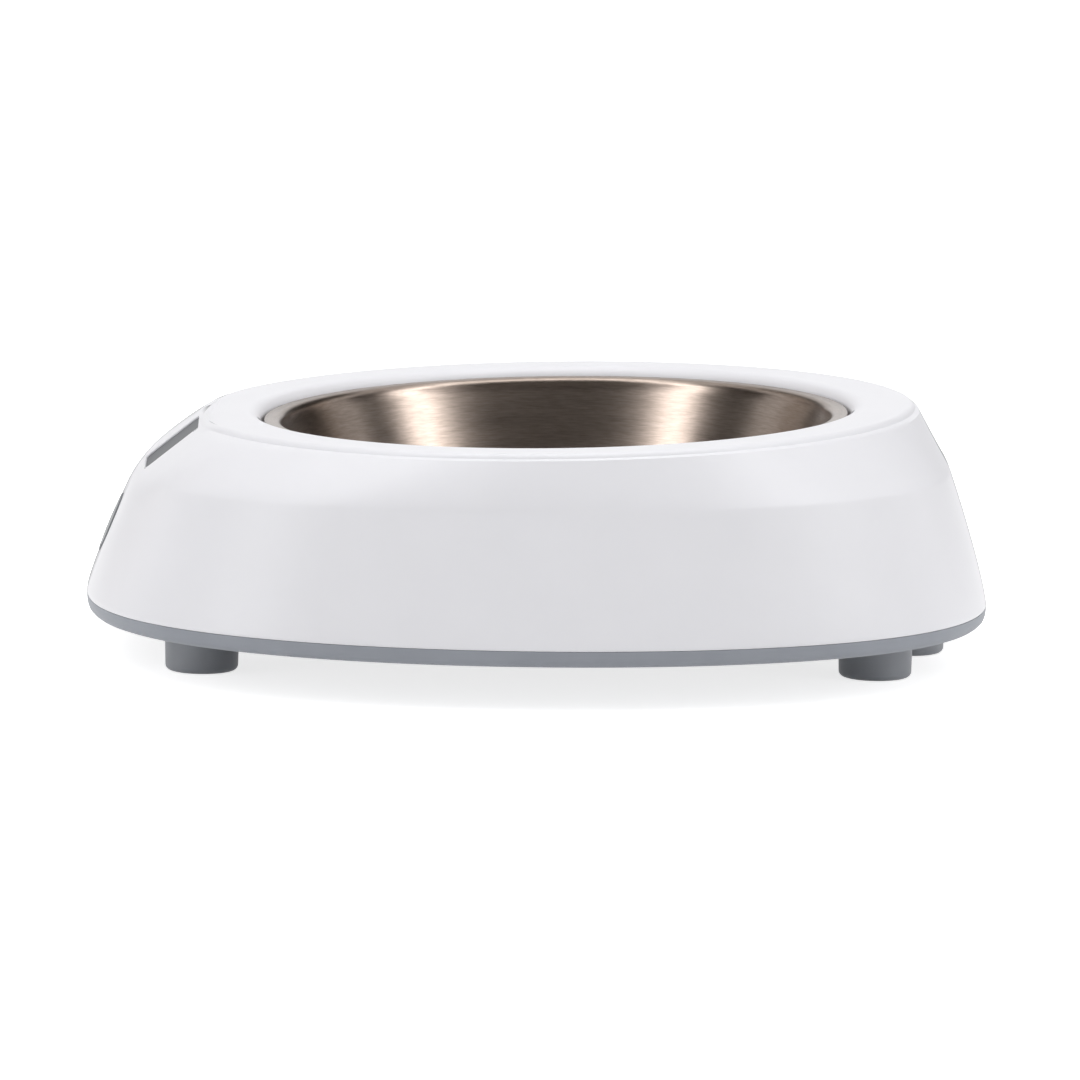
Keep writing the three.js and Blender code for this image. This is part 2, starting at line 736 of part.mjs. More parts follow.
// Grey base: the band, the floor, the tongue inside the housing, the bosses and the battery box
function makeBase() {
  const sideRing = (inset, z) => bodyRing(seamHeight, inset, seamHeight - z).map((p) => p.setZ(z));
  const tongueOuter = baseRimWall;
  const tongueInner = baseRimWall + tongueWall;
  const rings = [
    sideRing(bandEdge, baseUnderside),
    sideRing(bandLow, baseUnderside + bandEdgeRise),
    sideRing(bandInset, baseUnderside + baseRimHeight / 3),
    sideRing(0, rimTop),
    sideRing(tongueOuter, rimTop),
    sideRing(tongueOuter, rimTop + tongueHeight),
    sideRing(tongueInner, rimTop + tongueHeight),
    sideRing(tongueInner, baseFloorTop),
  ];
  let base = solidOf(loft(rings));
  for (const [x, y] of postPlaces) {
    const boss = post(x, y, bossRadius, baseUnderside, baseUnderside + bossHeight + baseFloor);
    base = base.add(solidOf(boss));
  }
  const cellBoss = block(
    [cellFront, -cellWidth / 2, baseUnderside],
    [cellFront + bossLength, cellWidth / 2, baseFloorTop + cellBossHeight],
  );
  base = base.add(solidOf(cellBoss));
  for (const share of [-0.5, 0.5]) {
    const stand = post(
      share * mainBoardScrewSpacing, mainBoardY, mainBoardPost,
      baseUnderside, baseFloorTop + mainBoardPostHeight,
    );
    base = base.add(solidOf(stand));
  }
  base = base.add(solidOf(block(
    [-boxLength / 2 - boxWall, boxInnerY - boxWall, baseUnderside],
    [boxLength / 2 + boxWall, boxOuterY + boxWall / 2, baseFloorTop + boxHeight],
  )));
  base = base.subtract(solidOf(block(
    [-boxLength / 2, boxInnerY, baseUnderside - cutOverrun],
    [boxLength / 2, boxOuterY, baseFloorTop + boxHeight + cutOverrun],
  )));
  for (const share of [-0.5, 0.5]) {
    const x = share * doorTabSpacing;
    base = base.subtract(solidOf(block(
      [x - doorTabWidth / 2 - notchGap, boxInnerY - doorTabReach - notchGap, baseFloorTop],
      [x + doorTabWidth / 2 + notchGap, boxInnerY + cutOverrun, baseFloorTop + notchHeight],
    )));
  }
  for (const [x, y] of postPlaces) {
    const well = post(x, y, screwWell, baseUnderside - cutOverrun, baseUnderside + screwWellDepth);
    const hole = post(x, y, screwHole, baseUnderside, baseFloorTop + bossHeight + cutOverrun);
    base = base.subtract(solidOf(well)).subtract(solidOf(hole));
  }
  for (const x of frontScrews) {
    const wellTop = baseUnderside + cellScrewHeadHeight + seatGap;
    const well = post(x, 0, cellScrewWell, baseUnderside - cutOverrun, wellTop);
    const hole = post(x, 0, cellScrewHole, baseUnderside, baseFloorTop + cellBossHeight + cutOverrun);
    base = base.subtract(solidOf(well)).subtract(solidOf(hole));
  }
  for (const [x, y] of footPlaces) {
    const pocketTop = baseUnderside + footPocket;
    const pocket = post(x, y, footRadius + footPocketGap, baseUnderside - cutOverrun, pocketTop, roundSides);
    const hole = post(x, y, footPegRadius + footPocketGap, baseUnderside, baseFloorTop + cutOverrun);
    base = base.subtract(solidOf(pocket)).subtract(solidOf(hole));
  }
  const buttonRoom = post(0, 0, ringOuter + ringFlange + 2 * turnedGap, -buttonBoardTop, 0, roundSides);
  base = base.subtract(placed(buttonRoom, buttonGroup));
  for (const share of [-0.5, 0.5]) {
    const x = share * mainBoardScrewSpacing;
    const top = baseFloorTop + mainBoardPostHeight;
    base = base.subtract(solidOf(post(x, mainBoardY, boardScrewPilot, top - boardPilotDepth, top + cutOverrun)));
  }
  return geometryOf(base);
}

const footPlaces = [
  [-footX, -footY], [-footX, footY], [footX, -footY], [footX, footY], [footCentreX, 0],
];
const footNames = ['front_left', 'front_right', 'rear_left', 'rear_right', 'rear_centre'];

addPiece('base_cover', makeBase(), grey);

// Rubber foot with a peg and a barb through the base floor
function makeFoot() {
  const edgeShare = 1 - Math.SQRT1_2;
  const soleRadius = footRadius - footDraft;
  const pegTop = footHeight + footPocket - seatGap + footPegRise;
  return turned([
    [0, 0],
    [soleRadius - footEdge, 0],
    [soleRadius - footEdge * edgeShare, footEdge * edgeShare],
    [soleRadius, footEdge],
    [footRadius, footHeight + footPocket - seatGap],
    [footPegRadius, footHeight + footPocket - seatGap],
    [footPegRadius, baseFloorTop + seatGap],
    [footBarbRadius, baseFloorTop + seatGap],
    [footPegRadius, pegTop + footBarbRise],
    [0, pegTop + footBarbRise],
  ]);
}

footPlaces.forEach(([x, y], place) => {
  addPiece(`foot_${footNames[place]}`, makeFoot(), rubber).position.set(x, y, 0);
});

// Screw with its head down and its tip up
function makeScrew(radius, headRadius, headHeight, reach) {
  return turned([
    [0, 0],
    [headRadius, 0],
    [headRadius, headHeight],
    [radius, headHeight],
    [radius, headHeight + reach - radius],
    [radius / 2, headHeight + reach],
    [0, headHeight + reach],
  ], screwSides);
}

postPlaces.forEach(([x, y], place) => {
  const screw = makeScrew(screwRadius, screwHead, screwHeadHeight, screwReach + screwReach / 2);
  const headTop = baseUnderside + screwWellDepth - seatGap;
  addPiece(`housing_screw_${place + 1}`, screw, zinc).position.set(x, y, headTop - screwHeadHeight);
});

// Load cell bar with two joined round cut-outs in its waist and threaded holes at its ends
function makeCell() {
  let bar = solidOf(block([cellFront, -cellWidth / 2, cellBottom], [cellBack, cellWidth / 2, cellTop]));
  const middle = (cellBottom + cellTop) / 2;
  const cutRadius = cellHoleRadius / 2;
  for (const share of [-0.5, 0.5]) {
    const hole = new THREE.CylinderGeometry(cutRadius, cutRadius, cellWidth + 2 * cutOverrun, smallSides);
    hole.translate(ringShift + share * cellHoleSpacing, 0, 0).translate(0, 0, middle);
    bar = bar.subtract(solidOf(hole));
  }
  const slot = cutRadius / 2;
  bar = bar.subtract(solidOf(block(
    [ringShift - cellHoleSpacing / 2, -cellWidth, middle - slot],
    [ringShift + cellHoleSpacing / 2, cellWidth, middle + slot],
  )));
  for (const x of [...frontScrews, ...backScrews]) {
    bar = bar.subtract(solidOf(post(x, 0, cellScrewHole, cellBottom - cutOverrun, cellTop + cutOverrun)));
  }
  return geometryOf(bar);
}

addPiece('load_cell', makeCell(), aluminium);

frontScrews.forEach((x, place) => {
  const reach = cellBottom + cellThread - baseUnderside - cellScrewHeadHeight;
  const screw = makeScrew(cellScrewRadius, cellScrewHead, cellScrewHeadHeight, reach);
  addPiece(`cell_screw_${place + 1}`, screw, zinc).position.set(x, 0, baseUnderside);
});

// Weigh tray: a tilted plate with a rim, and a level boss that stands on the load cell
const trayTop = wellDepth - trayFloorGap - trayPlate;
const padPlaces = Array.from({ length: padCount }, (_, pad) => {
  const angle = Math.PI / padCount + (pad / padCount) * 2 * Math.PI;
  return [padCircle * Math.cos(angle), padCircle * Math.sin(angle)];
});

function makeTray() {
  const rimRadius = trayRadius - trayRib;
  const plate = turned([
    [0, -trayTop - trayPlate],
    [trayRadius, -trayTop - trayPlate],
    [trayRadius, -trayTop + trayRibHeight],
    [rimRadius, -trayTop + trayRibHeight],
    [rimRadius, -trayTop],
    [0, -trayTop],
  ], bowlSides);
  let tray = placed(plate, tiltedGroup);
  const bossTop = ringHeight - trayTop - trayPlate / 2;
  tray = tray.add(solidOf(block(
    [cellBack - bossLength, -cellWidth / 2, cellTop + seatGap],
    [cellBack, cellWidth / 2, bossTop],
  )));
  const headLevel = ringHeight - trayTop + ringTilt * (backScrews[0] - ringShift) - cellScrewHeadHeight;
  for (const x of backScrews) {
    const hole = post(x, 0, cellScrewHole, cellTop - cutOverrun, ringHeight - trayTop + cutOverrun);
    const well = post(x, 0, cellScrewWell, headLevel - seatGap, headLevel + 3 * cutOverrun);
    tray = tray.subtract(solidOf(hole)).subtract(solidOf(well));
  }
  for (const [x, y] of padPlaces) {
    const pocket = post(x, y, padRadius + seatGap, -trayTop - padSink, -trayTop + cutOverrun);
    tray = tray.subtract(placed(pocket, tiltedGroup));
  }
  return { geometry: geometryOf(tray), headLevel };
}

const tray = makeTray();
addPiece('weigh_tray', tray.geometry, trayWhite);

backScrews.forEach((x, place) => {
  const reach = tray.headLevel - cellTop + cellThread;
  const screw = makeScrew(cellScrewRadius, cellScrewHead, cellScrewHeadHeight, reach);
  const mesh = addPiece(`tray_screw_${place + 1}`, screw, zinc);
  mesh.rotation.x = Math.PI;
  mesh.position.set(x, 0, tray.headLevel + cellScrewHeadHeight);
});

padPlaces.forEach(([x, y], place) => {
  const low = -trayTop - padSink + turnedGap / 2;
  addPiece(`tray_pad_${place + 1}`, post(x, y, padRadius, low, low + padThickness), rubber, tiltedGroup);
});

// Steel bowl on the pads, with a flat flange that rounds into the wall
const bowlBottom = trayTop + padSink - turnedGap / 2 - padThickness - turnedGap / 2;

function makeBowl() {
  const flangeTop = -flangeDrop;
  const floorTop = -bowlBottom + bowlSheet;
  const cornerSteps = 4;
  const shoulderSteps = 3;
  const corner = [];
  const outerCorner = [];
  for (let step = 0; step <= cornerSteps; step++) {
    const angle = (step / cornerSteps) * (Math.PI / 2);
    const cx = bowlBottomRadius - bowlCornerRadius;
    const cz = floorTop + bowlCornerRadius;
    corner.push([cx + bowlCornerRadius * Math.sin(angle), cz - bowlCornerRadius * Math.cos(angle)]);
    const outerRadius = bowlCornerRadius + bowlSheet;
    outerCorner.push([cx + outerRadius * Math.sin(angle), cz - outerRadius * Math.cos(angle)]);
  }
  const shoulder = [];
  const outerShoulder = [];
  for (let step = 0; step <= shoulderSteps; step++) {
    const angle = (step / shoulderSteps) * (Math.PI / 2);
    const cx = bowlTopRadius + bowlShoulder;
    const cz = flangeTop - bowlShoulder;
    shoulder.push([cx - bowlShoulder * Math.cos(angle), cz + bowlShoulder * Math.sin(angle)]);
    const underRadius = bowlShoulder - bowlSheet;
    outerShoulder.push([cx - underRadius * Math.cos(angle), cz + underRadius * Math.sin(angle)]);
  }
  const flangeInner = flangeRadius - bowlSheet;
  return turned([
    [0, -bowlBottom],
    ...outerCorner,
    ...outerShoulder,
    [flangeInner, flangeTop - bowlSheet],
    [flangeInner, flangeTop - flangeEdge],
    [flangeRadius, flangeTop - flangeEdge],
    [flangeRadius, flangeTop - bowlSheet / 2],
    [flangeRadius - bowlSheet / 2, flangeTop],
    ...shoulder.reverse(),
    ...corner.reverse(),
    [0, floorTop],
  ], bowlSides);
}

addPiece('steel_bowl', makeBowl(), steel, tiltedGroup);

// Dark lens in the rebate behind the window, and the frame that holds it
const lens = roundedBlock(lensHeight, lensWidth, windowCorner, -lensTop - lensThickness, -lensTop);
addPiece('display_window', lens, lensDark, displayGroup);

function makeFrame() {
  const low = -frameTop - frameThickness;
  const frame = solidOf(roundedBlock(frameHeight, frameWidth, windowCorner, low, -frameTop));
  const opening = roundedBlock(
    lensHeight - 2 * frameLedge, lensWidth - 2 * frameLedge, windowCorner,
    low - cutOverrun, cutOverrun,
  );
  return geometryOf(frame.subtract(solidOf(opening)));
}

addPiece('display_frame', makeFrame(), grey, displayGroup);

const moduleBlock = block(
  [-moduleHeight / 2, -moduleWidth / 2, -moduleTop - moduleThickness],
  [moduleHeight / 2, moduleWidth / 2, -moduleTop],
);
addPiece('display_module', moduleBlock, displayGrey, displayGroup);

// Board with a screw hole at each end, in a turned group
function makeBoard(width, height, top, holes) {
  let board = solidOf(block([-height / 2, -width / 2, -top - boardThickness], [height / 2, width / 2, -top]));
  for (const y of holes) {
    const hole = post(0, y, boardScrewHole, -top - boardThickness - cutOverrun, -top + cutOverrun);
    board = board.subtract(solidOf(hole));
  }
  return geometryOf(board);
}

function addBoardScrews(prefix, holes, top, group) {
  holes.forEach((y, place) => {
    const screw = makeScrew(boardScrewRadius, boardScrewHead, boardScrewHeadHeight, boardScrewReach);
    const mesh = addPiece(`${prefix}_screw_${place + 1}`, screw, zinc, group);
    mesh.position.set(0, y, -top - boardThickness - turnedGap / 2 - boardScrewHeadHeight);
  });
}

const displayBoard = makeBoard(displayBoardWidth, displayBoardHeight, displayBoardTop, displayPosts);
addPiece('display_board', displayBoard, boardGreen, displayGroup);
addBoardScrews('display_board', displayPosts, displayBoardTop, displayGroup);

// Trim ring in the front wall, with a flange behind it
function makeButtonRing() {
  const flange = ringOuter + ringFlange;
  const corner = ringWall / 3;
  return turned([
    [ringInner, -ringDepth],
    [flange, -ringDepth],
    [flange, -ringFlangeDepth],
    [ringOuter, -ringFlangeDepth],
    [ringOuter, ringProud - corner],
    [ringOuter - corner, ringProud],
    [ringInner, ringProud],
    [ringInner, -ringDepth],
  ]);
}

addPiece('button_ring', makeButtonRing(), darkGrey, buttonGroup);

// Push button: dome, skirt, collar behind the ring, and stem
function makeButtonCap() {
  const collarTop = buttonCollarDepth - buttonSkirt;
  return turned([
    [0, -buttonStemDepth],
    [buttonStemRadius, -buttonStemDepth],
    [buttonStemRadius, -buttonSkirt],
    [buttonRadius - buttonSkirt, -buttonSkirt],
    [buttonRadius - buttonSkirt, -buttonCollarDepth],
    [buttonCollar, -buttonCollarDepth],
    [buttonCollar, -collarTop],
    [buttonRadius, -collarTop],
    [buttonRadius, buttonProud - buttonDome / 2],
    [buttonRadius - buttonDome, buttonProud],
    [buttonRadius / 2, buttonProud + buttonDome / 2],
    [0, buttonProud + buttonDome / 2 + buttonDome / 4],
  ]);
}

addPiece('button_cap', makeButtonCap(), buttonGrey, buttonGroup);

// Push switch behind the button, with its own plunger
function makeSwitch() {
  const half = switchSize / 2;
  const body = solidOf(block([-half, -half, -switchTop - switchHeight], [half, half, -switchTop]));
  const well = post(0, 0, plungerRadius + ringGap, -switchTop - switchWell, -switchTop + cutOverrun);
  return geometryOf(body.subtract(solidOf(well)));
}

addPiece('button_switch', makeSwitch(), chipBlack, buttonGroup);
const plungerLow = -switchTop - switchWell + buttonTravel + turnedGap / 2;
addPiece('switch_plunger', post(0, 0, plungerRadius, plungerLow, -plungerTop), leadBlack, buttonGroup);

const buttonBoard = makeBoard(buttonBoardWidth, buttonBoardHeight, buttonBoardTop, buttonPosts);
addPiece('button_board', buttonBoard, boardGreen, buttonGroup);
addBoardScrews('button_board', buttonPosts, buttonBoardTop, buttonGroup);

// Main board on two stands, with its chips and sockets
const mainBoardLow = baseFloorTop + mainBoardPostHeight + seatGap;
const mainBoardHigh = mainBoardLow + boardThickness;
const mainBoardNear = mainBoardY - mainBoardWidth / 2;
const mainBoardFar = mainBoardY + mainBoardWidth / 2;

function makeMainBoard() {
  let board = solidOf(block(
    [-mainBoardLength / 2, mainBoardNear, mainBoardLow],
    [mainBoardLength / 2, mainBoardFar, mainBoardHigh],
  ));
  for (const share of [-0.5, 0.5]) {
    const hole = post(
      share * mainBoardScrewSpacing, mainBoardY, boardScrewHole,
      mainBoardLow - cutOverrun, mainBoardHigh + cutOverrun,
    );
    board = board.subtract(solidOf(hole));
  }
  return geometryOf(board);
}

addPiece('main_board', makeMainBoard(), boardGreen);

[-0.5, 0.5].forEach((share, place) => {
  const screw = makeScrew(boardScrewRadius, boardScrewHead, boardScrewHeadHeight, boardScrewReach);
  const mesh = addPiece(`main_board_screw_${place + 1}`, screw, zinc);
  mesh.rotation.x = Math.PI;
  mesh.position.set(share * mainBoardScrewSpacing, mainBoardY, mainBoardHigh + seatGap + boardScrewHeadHeight);
});

const chipLow = mainBoardHigh + seatGap;
const chipRowY = mainBoardNear + mainBoardWidth / 4;
const socketRowY = mainBoardFar - socketWidth / 2 - 2 * seatGap;
const socketStep = mainBoardLength / 4;

// Block that stands on the main board
function boardBlock(x, y, length, width, height) {
  return block([x - length / 2, y - width / 2, chipLow], [x + length / 2, y + width / 2, chipLow + height]);
}

const controller = boardBlock(0, chipRowY + seatGap, controllerSize, controllerSize, chipHeight);
addPiece('controller_chip', controller, chipBlack);
const weighingChip = boardBlock(socketStep, chipRowY, weighingChipLength, weighingChipWidth, chipHeight);
addPiece('weighing_chip', weighingChip, chipBlack);
const capacitor = post(-socketStep, chipRowY, capacitorRadius, chipLow, chipLow + capacitorHeight, roundSides);
addPiece('buffer_capacitor', capacitor, chipBlack);

const sockets = { display: -socketStep, battery: 0, sensor: socketStep };
for (const [name, x] of Object.entries(sockets)) {
  const socket = boardBlock(x, socketRowY, socketLength, socketWidth, socketHeight);
  addPiece(`${name}_socket`, socket, socketWhite);
}

// Two cells side by side, pointing opposite ways, on the battery door
const doorTop = baseUnderside + doorThickness;
const cellAxisZ = doorTop + seatGap + batteryRadius;
const batteryRows = [batteryFirstY, batteryLastY];
const contactX = boxLength / 2 - seatGap;
const cellPlusEnd = contactX - plateThickness - plateBump - seatGap;
const cellMinusEnd = batteryNubHeight + batteryLength - cellPlusEnd;

// Turned shape laid along X from its foot, pointing to +X or -X
function alongX(geometry, direction) {
  return geometry.rotateY((direction * Math.PI) / 2);
}

batteryRows.forEach((y, row) => {
  const direction = row === 0 ? 1 : -1;
  const can = turned([
    [0, 0],
    [batteryRadius, 0],
    [batteryRadius, batteryLength],
    [batteryNubRadius, batteryLength],
    [batteryNubRadius, batteryLength + batteryNubHeight],
    [0, batteryLength + batteryNubHeight],
  ]);
  const mesh = addPiece(`battery_cell_${row + 1}`, alongX(can, direction), cellWrap);
  mesh.position.set(-direction * cellMinusEnd, y, cellAxisZ);
});

// Contact spring: one tapering coil of wire between the plate and the cell
function makeSpring(length) {
  const turns = springCoils;
  const stepsPerTurn = 8;
  const wireSides = 5;
  const steps = turns * stepsPerTurn;
  const pitch = (length - 2 * springWire) / turns;
  class Coil extends THREE.Curve {
    getPoint(share, target = new THREE.Vector3()) {
      const angle = share * turns * 2 * Math.PI;
      const radius = springRadius * (1 - share / 3);
      return target.set(
        radius * Math.cos(angle),
        radius * Math.sin(angle),
        springWire + share * turns * pitch,
      );
    }
  }
  const section = new THREE.Shape();
  for (let side = 0; side < wireSides; side++) {
    const angle = (side / wireSides) * 2 * Math.PI;
    const x = springWire * Math.cos(angle);
    const y = springWire * Math.sin(angle);
    if (side === 0) {
      section.moveTo(x, y);
    } else {
      section.lineTo(x, y);
    }
  }
  section.closePath();
  return new THREE.ExtrudeGeometry(section, { steps, extrudePath: new Coil() });
}

const springRoom = contactX - plateThickness - cellMinusEnd - 2 * turnedGap;
batteryRows.forEach((y, row) => {
  const direction = row === 0 ? 1 : -1;
  const spring = alongX(makeSpring(springRoom), direction);
  const mesh = addPiece(`battery_spring_${row + 1}`, spring, zinc);
  mesh.position.set(-direction * (contactX - plateThickness - turnedGap), y, cellAxisZ);
});

// Contact plate at one end of the box, with a bump for each plus end
function makePlate(side, rows, bumps) {
  const low = doorTop + doorGap;
  const half = batterySpacing / 2 - springWire;
  const [from, to] = [contactX - plateThickness, contactX].map((x) => side * x).sort((a, b) => a - b);
  let plate = solidOf(block(
    [from, rows[0] - half, low],
    [to, rows[rows.length - 1] + half, low + plateHeight + doorThickness],
  ));
  for (const y of bumps) {
    const bump = turned([
      [0, 0], [batteryNubRadius, 0], [batteryNubRadius / 2, plateBump + plateThickness / 2],
      [0, plateBump + plateThickness / 2],
    ], smallSides);
    alongX(bump, -side).translate(side * (contactX - plateThickness / 2), y, cellAxisZ);
    plate = plate.add(solidOf(bump));
  }
  return geometryOf(plate);
}

addPiece('battery_link_plate', makePlate(1, batteryRows, [batteryRows[0]]), zinc);
addPiece('battery_minus_plate', makePlate(-1, [batteryRows[0]], []), zinc);
addPiece('battery_plus_plate', makePlate(-1, [batteryRows[1]], [batteryRows[1]]), zinc);

// Battery door with two hinge tabs, a latch tongue and a thumb groove
function makeDoor() {
  const halfLength = boxLength / 2 - doorGap;
  const nearY = boxInnerY + doorGap;
  const farY = boxOuterY - doorGap;
  let door = solidOf(block([-halfLength, nearY, baseUnderside], [halfLength, farY, doorTop]));
  for (const share of [-0.5, 0.5]) {
    const x = share * doorTabSpacing;
    const tabLow = baseFloorTop + doorGap / 2;
    const tabHigh = tabLow + doorTabThickness;
    const neck = block(
      [x - doorTabWidth / 2, nearY, doorTop - cutOverrun],
      [x + doorTabWidth / 2, nearY + doorTabNeck, tabHigh],
    );
    const tab = block(
      [x - doorTabWidth / 2, boxInnerY - doorTabReach, tabLow],
      [x + doorTabWidth / 2, nearY + doorTabNeck, tabHigh],
    );
    door = door.add(solidOf(neck)).add(solidOf(tab));
  }
  const latch = block(
    [-doorLatchWidth / 2, farY - doorLatchGap - doorLatchWall, doorTop - cutOverrun],
    [doorLatchWidth / 2, farY - doorLatchGap, doorTop + doorLatchHeight],
  );
  door = door.add(solidOf(latch));
  const groove = block(
    [-gripWidth / 2, farY - 2 * doorTabWidth / 3, baseUnderside - cutOverrun],
    [gripWidth / 2, farY - doorTabWidth / 3, baseUnderside + gripDepth],
  );
  return geometryOf(door.subtract(solidOf(groove)));
}

addPiece('battery_door', makeDoor(), grey);

// Inner lead along hand-chosen points
function addLead(name, points) {
  const path = new THREE.CatmullRomCurve3(points.map((point) => new THREE.Vector3(...point)));
  const section = new THREE.Shape();
  for (let side = 0; side < leadSides; side++) {
    const angle = (side / leadSides) * 2 * Math.PI;
    const x = leadRadius * Math.cos(angle);
    const y = leadRadius * Math.sin(angle);
    if (side === 0) {
      section.moveTo(x, y);
    } else {
      section.lineTo(x, y);
    }
  }
  section.closePath();
  addPiece(name, new THREE.ExtrudeGeometry(section, { steps: leadSteps, extrudePath: path }), leadBlack);
}

const plugY = mainBoardFar + turnedGap;
const plugZ = chipLow + socketHeight / 2;
const leadZ = baseFloorTop + leadRadius + leadFloorGap;

// Point given in a turned group's own places
function pointIn(group, x, y, z) {
  return new THREE.Vector3(x, y, z).applyMatrix4(group.matrix).toArray();
}

// Last points of a lead, which runs straight into its socket
function plugEnd(x) {
  return [[x, plugY + leadSway, plugZ], [x, plugY, plugZ]];
}

const cellLeadX = cellFront - turnedGap - leadRadius;
addLead('sensor_cable', [
  [cellLeadX, 0, cellBottom + cellHeight / 2],
  [cellLeadX - leadSway / 2, -leadSway, leadZ],
  [cellLeadX, plugY / 2, leadZ],
  [0, plugY + 2 * leadSway, leadZ],
  ...plugEnd(sockets.sensor),
]);

const boxLeadX = -contactX - boxWall - leadRadius;
addLead('battery_cable', [
  [boxLeadX, batteryRows[0], cellAxisZ],
  [boxLeadX - leadSway, boxInnerY, leadZ],
  [boxLeadX - 2 * leadSway, boxInnerY / 2, leadZ],
  [boxLeadX - 2 * leadSway, -leadSway, leadZ],
  [boxLeadX - leadSway / 2, plugY / 2, leadZ],
  [-leadSway, plugY + 2 * leadSway, leadZ],
  ...plugEnd(sockets.battery),
]);

const boardBack = displayBoardTop + boardThickness + turnedGap + leadRadius;
const displayLeadStart = pointIn(displayGroup, 0, -displayBoardWidth / 3, -boardBack);
const displayLeadTurn = pointIn(displayGroup, -displayBoardHeight / 2, -displayBoardWidth / 2, -boardBack - leadSway);
addLead('display_cable', [
  displayLeadStart,
  displayLeadTurn,
  [-footX + leadSway, -footY - leadSway, leadZ + leadSway],
  [sockets.display - 2 * leadSway, plugY + leadSway, leadZ + leadSway / 2],
  ...plugEnd(sockets.display),
]);

const buttonBack = buttonBoardTop + boardThickness + turnedGap + leadRadius;
addLead('button_cable', [
  pointIn(buttonGroup, -leadSway / 2, leadSway, -buttonBack),
  pointIn(buttonGroup, buttonBoardHeight / 2 + leadRadius, leadSway, -buttonBack - leadRadius),
  pointIn(displayGroup, -displayBoardHeight / 2, leadSway, -boardBack - leadRadius),
  pointIn(displayGroup, -leadSway / 2, leadSway, -boardBack),
]);

export default object;
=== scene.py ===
"""Looks for the weighing pet bowl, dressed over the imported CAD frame.

The sizes and the shape functions are in millimetres, in the frame's own axes, and new_object
writes metres. Places and sizes of the cards, the lamps and the camera are in metres.
"""

import json
import math

import bpy
import numpy as np
from mathutils import Matrix, Vector


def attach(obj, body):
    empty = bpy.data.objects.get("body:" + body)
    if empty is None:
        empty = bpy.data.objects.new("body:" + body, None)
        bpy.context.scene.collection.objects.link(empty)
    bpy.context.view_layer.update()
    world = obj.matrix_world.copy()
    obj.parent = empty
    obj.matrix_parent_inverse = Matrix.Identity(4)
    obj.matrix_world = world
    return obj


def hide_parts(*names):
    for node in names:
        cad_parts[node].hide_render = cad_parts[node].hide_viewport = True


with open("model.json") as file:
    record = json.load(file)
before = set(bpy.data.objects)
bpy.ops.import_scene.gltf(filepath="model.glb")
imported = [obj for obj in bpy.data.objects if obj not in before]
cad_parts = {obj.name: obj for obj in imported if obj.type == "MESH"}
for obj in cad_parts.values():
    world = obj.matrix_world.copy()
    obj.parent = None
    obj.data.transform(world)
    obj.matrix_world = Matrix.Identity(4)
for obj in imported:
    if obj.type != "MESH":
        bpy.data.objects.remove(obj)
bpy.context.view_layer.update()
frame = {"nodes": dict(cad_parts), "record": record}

MM = 0.001
ORIGIN = Matrix.Identity(4)

# Points round a body outline or a large turned shape, round a small one and round a screw well
SIDES = 240
SMALL_SIDES = 96
WELL_SIDES = 48
# Points along each rounded edge, and along the dish's straight wall
ARC_POINTS = dict(
    ring_edge=7, lip=13, well_corner=7, window_corner=9, window_fillet=6, foot_edge=8,
    dish_outer_corner=14, dish_under_shoulder=9, dish_rim=6, dish_shoulder=11, dish_corner=16,
    dish_wall=14, trim_edge=5, dome_edge=7, dome_crown=9,
)
SHARP_ANGLE = 32
CAD_SHARP_ANGLE = 28

# ---------------------------------------------------------------- body outline

SEAM = dict(length=200, width=177, shift=0, height=13.4, tilt=0, power=2.8)
CREASE = dict(length=180.14, width=163.725, shift=1.13, height=42.302, tilt=0.013, power=3.06)
RING = dict(length=160, width=155.2, shift=3.85, height=54.6, tilt=0.026, power=2)
LOWER_POWERS = dict(front=1.12, side=1.12, back=1.19)
UPPER_POWERS = dict(front=1.78, side=1.24, back=0.95)
CREASE_SOFT = 0.35
CREASE_SAMPLES = 9
BISECTIONS = 44

FACET_SLOPE = math.radians(38.65)
FACET_CENTRE = np.array([-81.64, 0, 45.593])
FACET_NORMAL = np.array([-math.sin(FACET_SLOPE), 0, math.cos(FACET_SLOPE)])
FACET_RADIUS = 400
FACET_BLEND = 2.6
CROWN = math.sin(FACET_SLOPE) / (2 * FACET_RADIUS)

OPENING_CENTRE = np.array([3.85, 0, 54.6])
OPENING_RADIUS = 65.7
TILT = math.atan(RING["tilt"])
ANGLES = np.arange(SIDES) / SIDES * 2 * math.pi


def mixed(low, high, share, powers):
    """Outline between two others; each end and the sides draw in at a rate of their own."""
    inset = max(share, 0)
    ends = {}
    for end, sign in (("front", -1), ("back", 1)):
        start, stop = (o["shift"] + sign * o["length"] / 2 for o in (low, high))
        ends[end] = start + (stop - start) * inset ** powers[end]
    result = {k: low[k] + (high[k] - low[k]) * share for k in ("height", "tilt", "power")}
    result["width"] = low["width"] + (high["width"] - low["width"]) * inset ** powers["side"]
    result["length"] = ends["back"] - ends["front"]
    result["shift"] = (ends["front"] + ends["back"]) / 2
    return result


def sharp_outline(height):
    """Outline at a height of the two bands, which meet in a sharp crease."""
    if height <= CREASE["height"]:
        share = (height - SEAM["height"]) / (CREASE["height"] - SEAM["height"])
        return mixed(SEAM, CREASE, share, LOWER_POWERS)
    share = (height - CREASE["height"]) / (RING["height"] - CREASE["height"])
    return mixed(CREASE, RING, share, UPPER_POWERS)


def outline_at(height):
    """Outline at a height, with the crease between the bands rounded off."""
    reach = CREASE_SOFT * max(0, 1 - abs(height - CREASE["height"]) / (3 * CREASE_SOFT))
    if reach == 0:
        return sharp_outline(height)
    samples = [sharp_outline(height + reach * s) for s in np.linspace(-1, 1, CREASE_SAMPLES)]
    return {k: sum(s[k] for s in samples) / len(samples) for k in samples[0]}


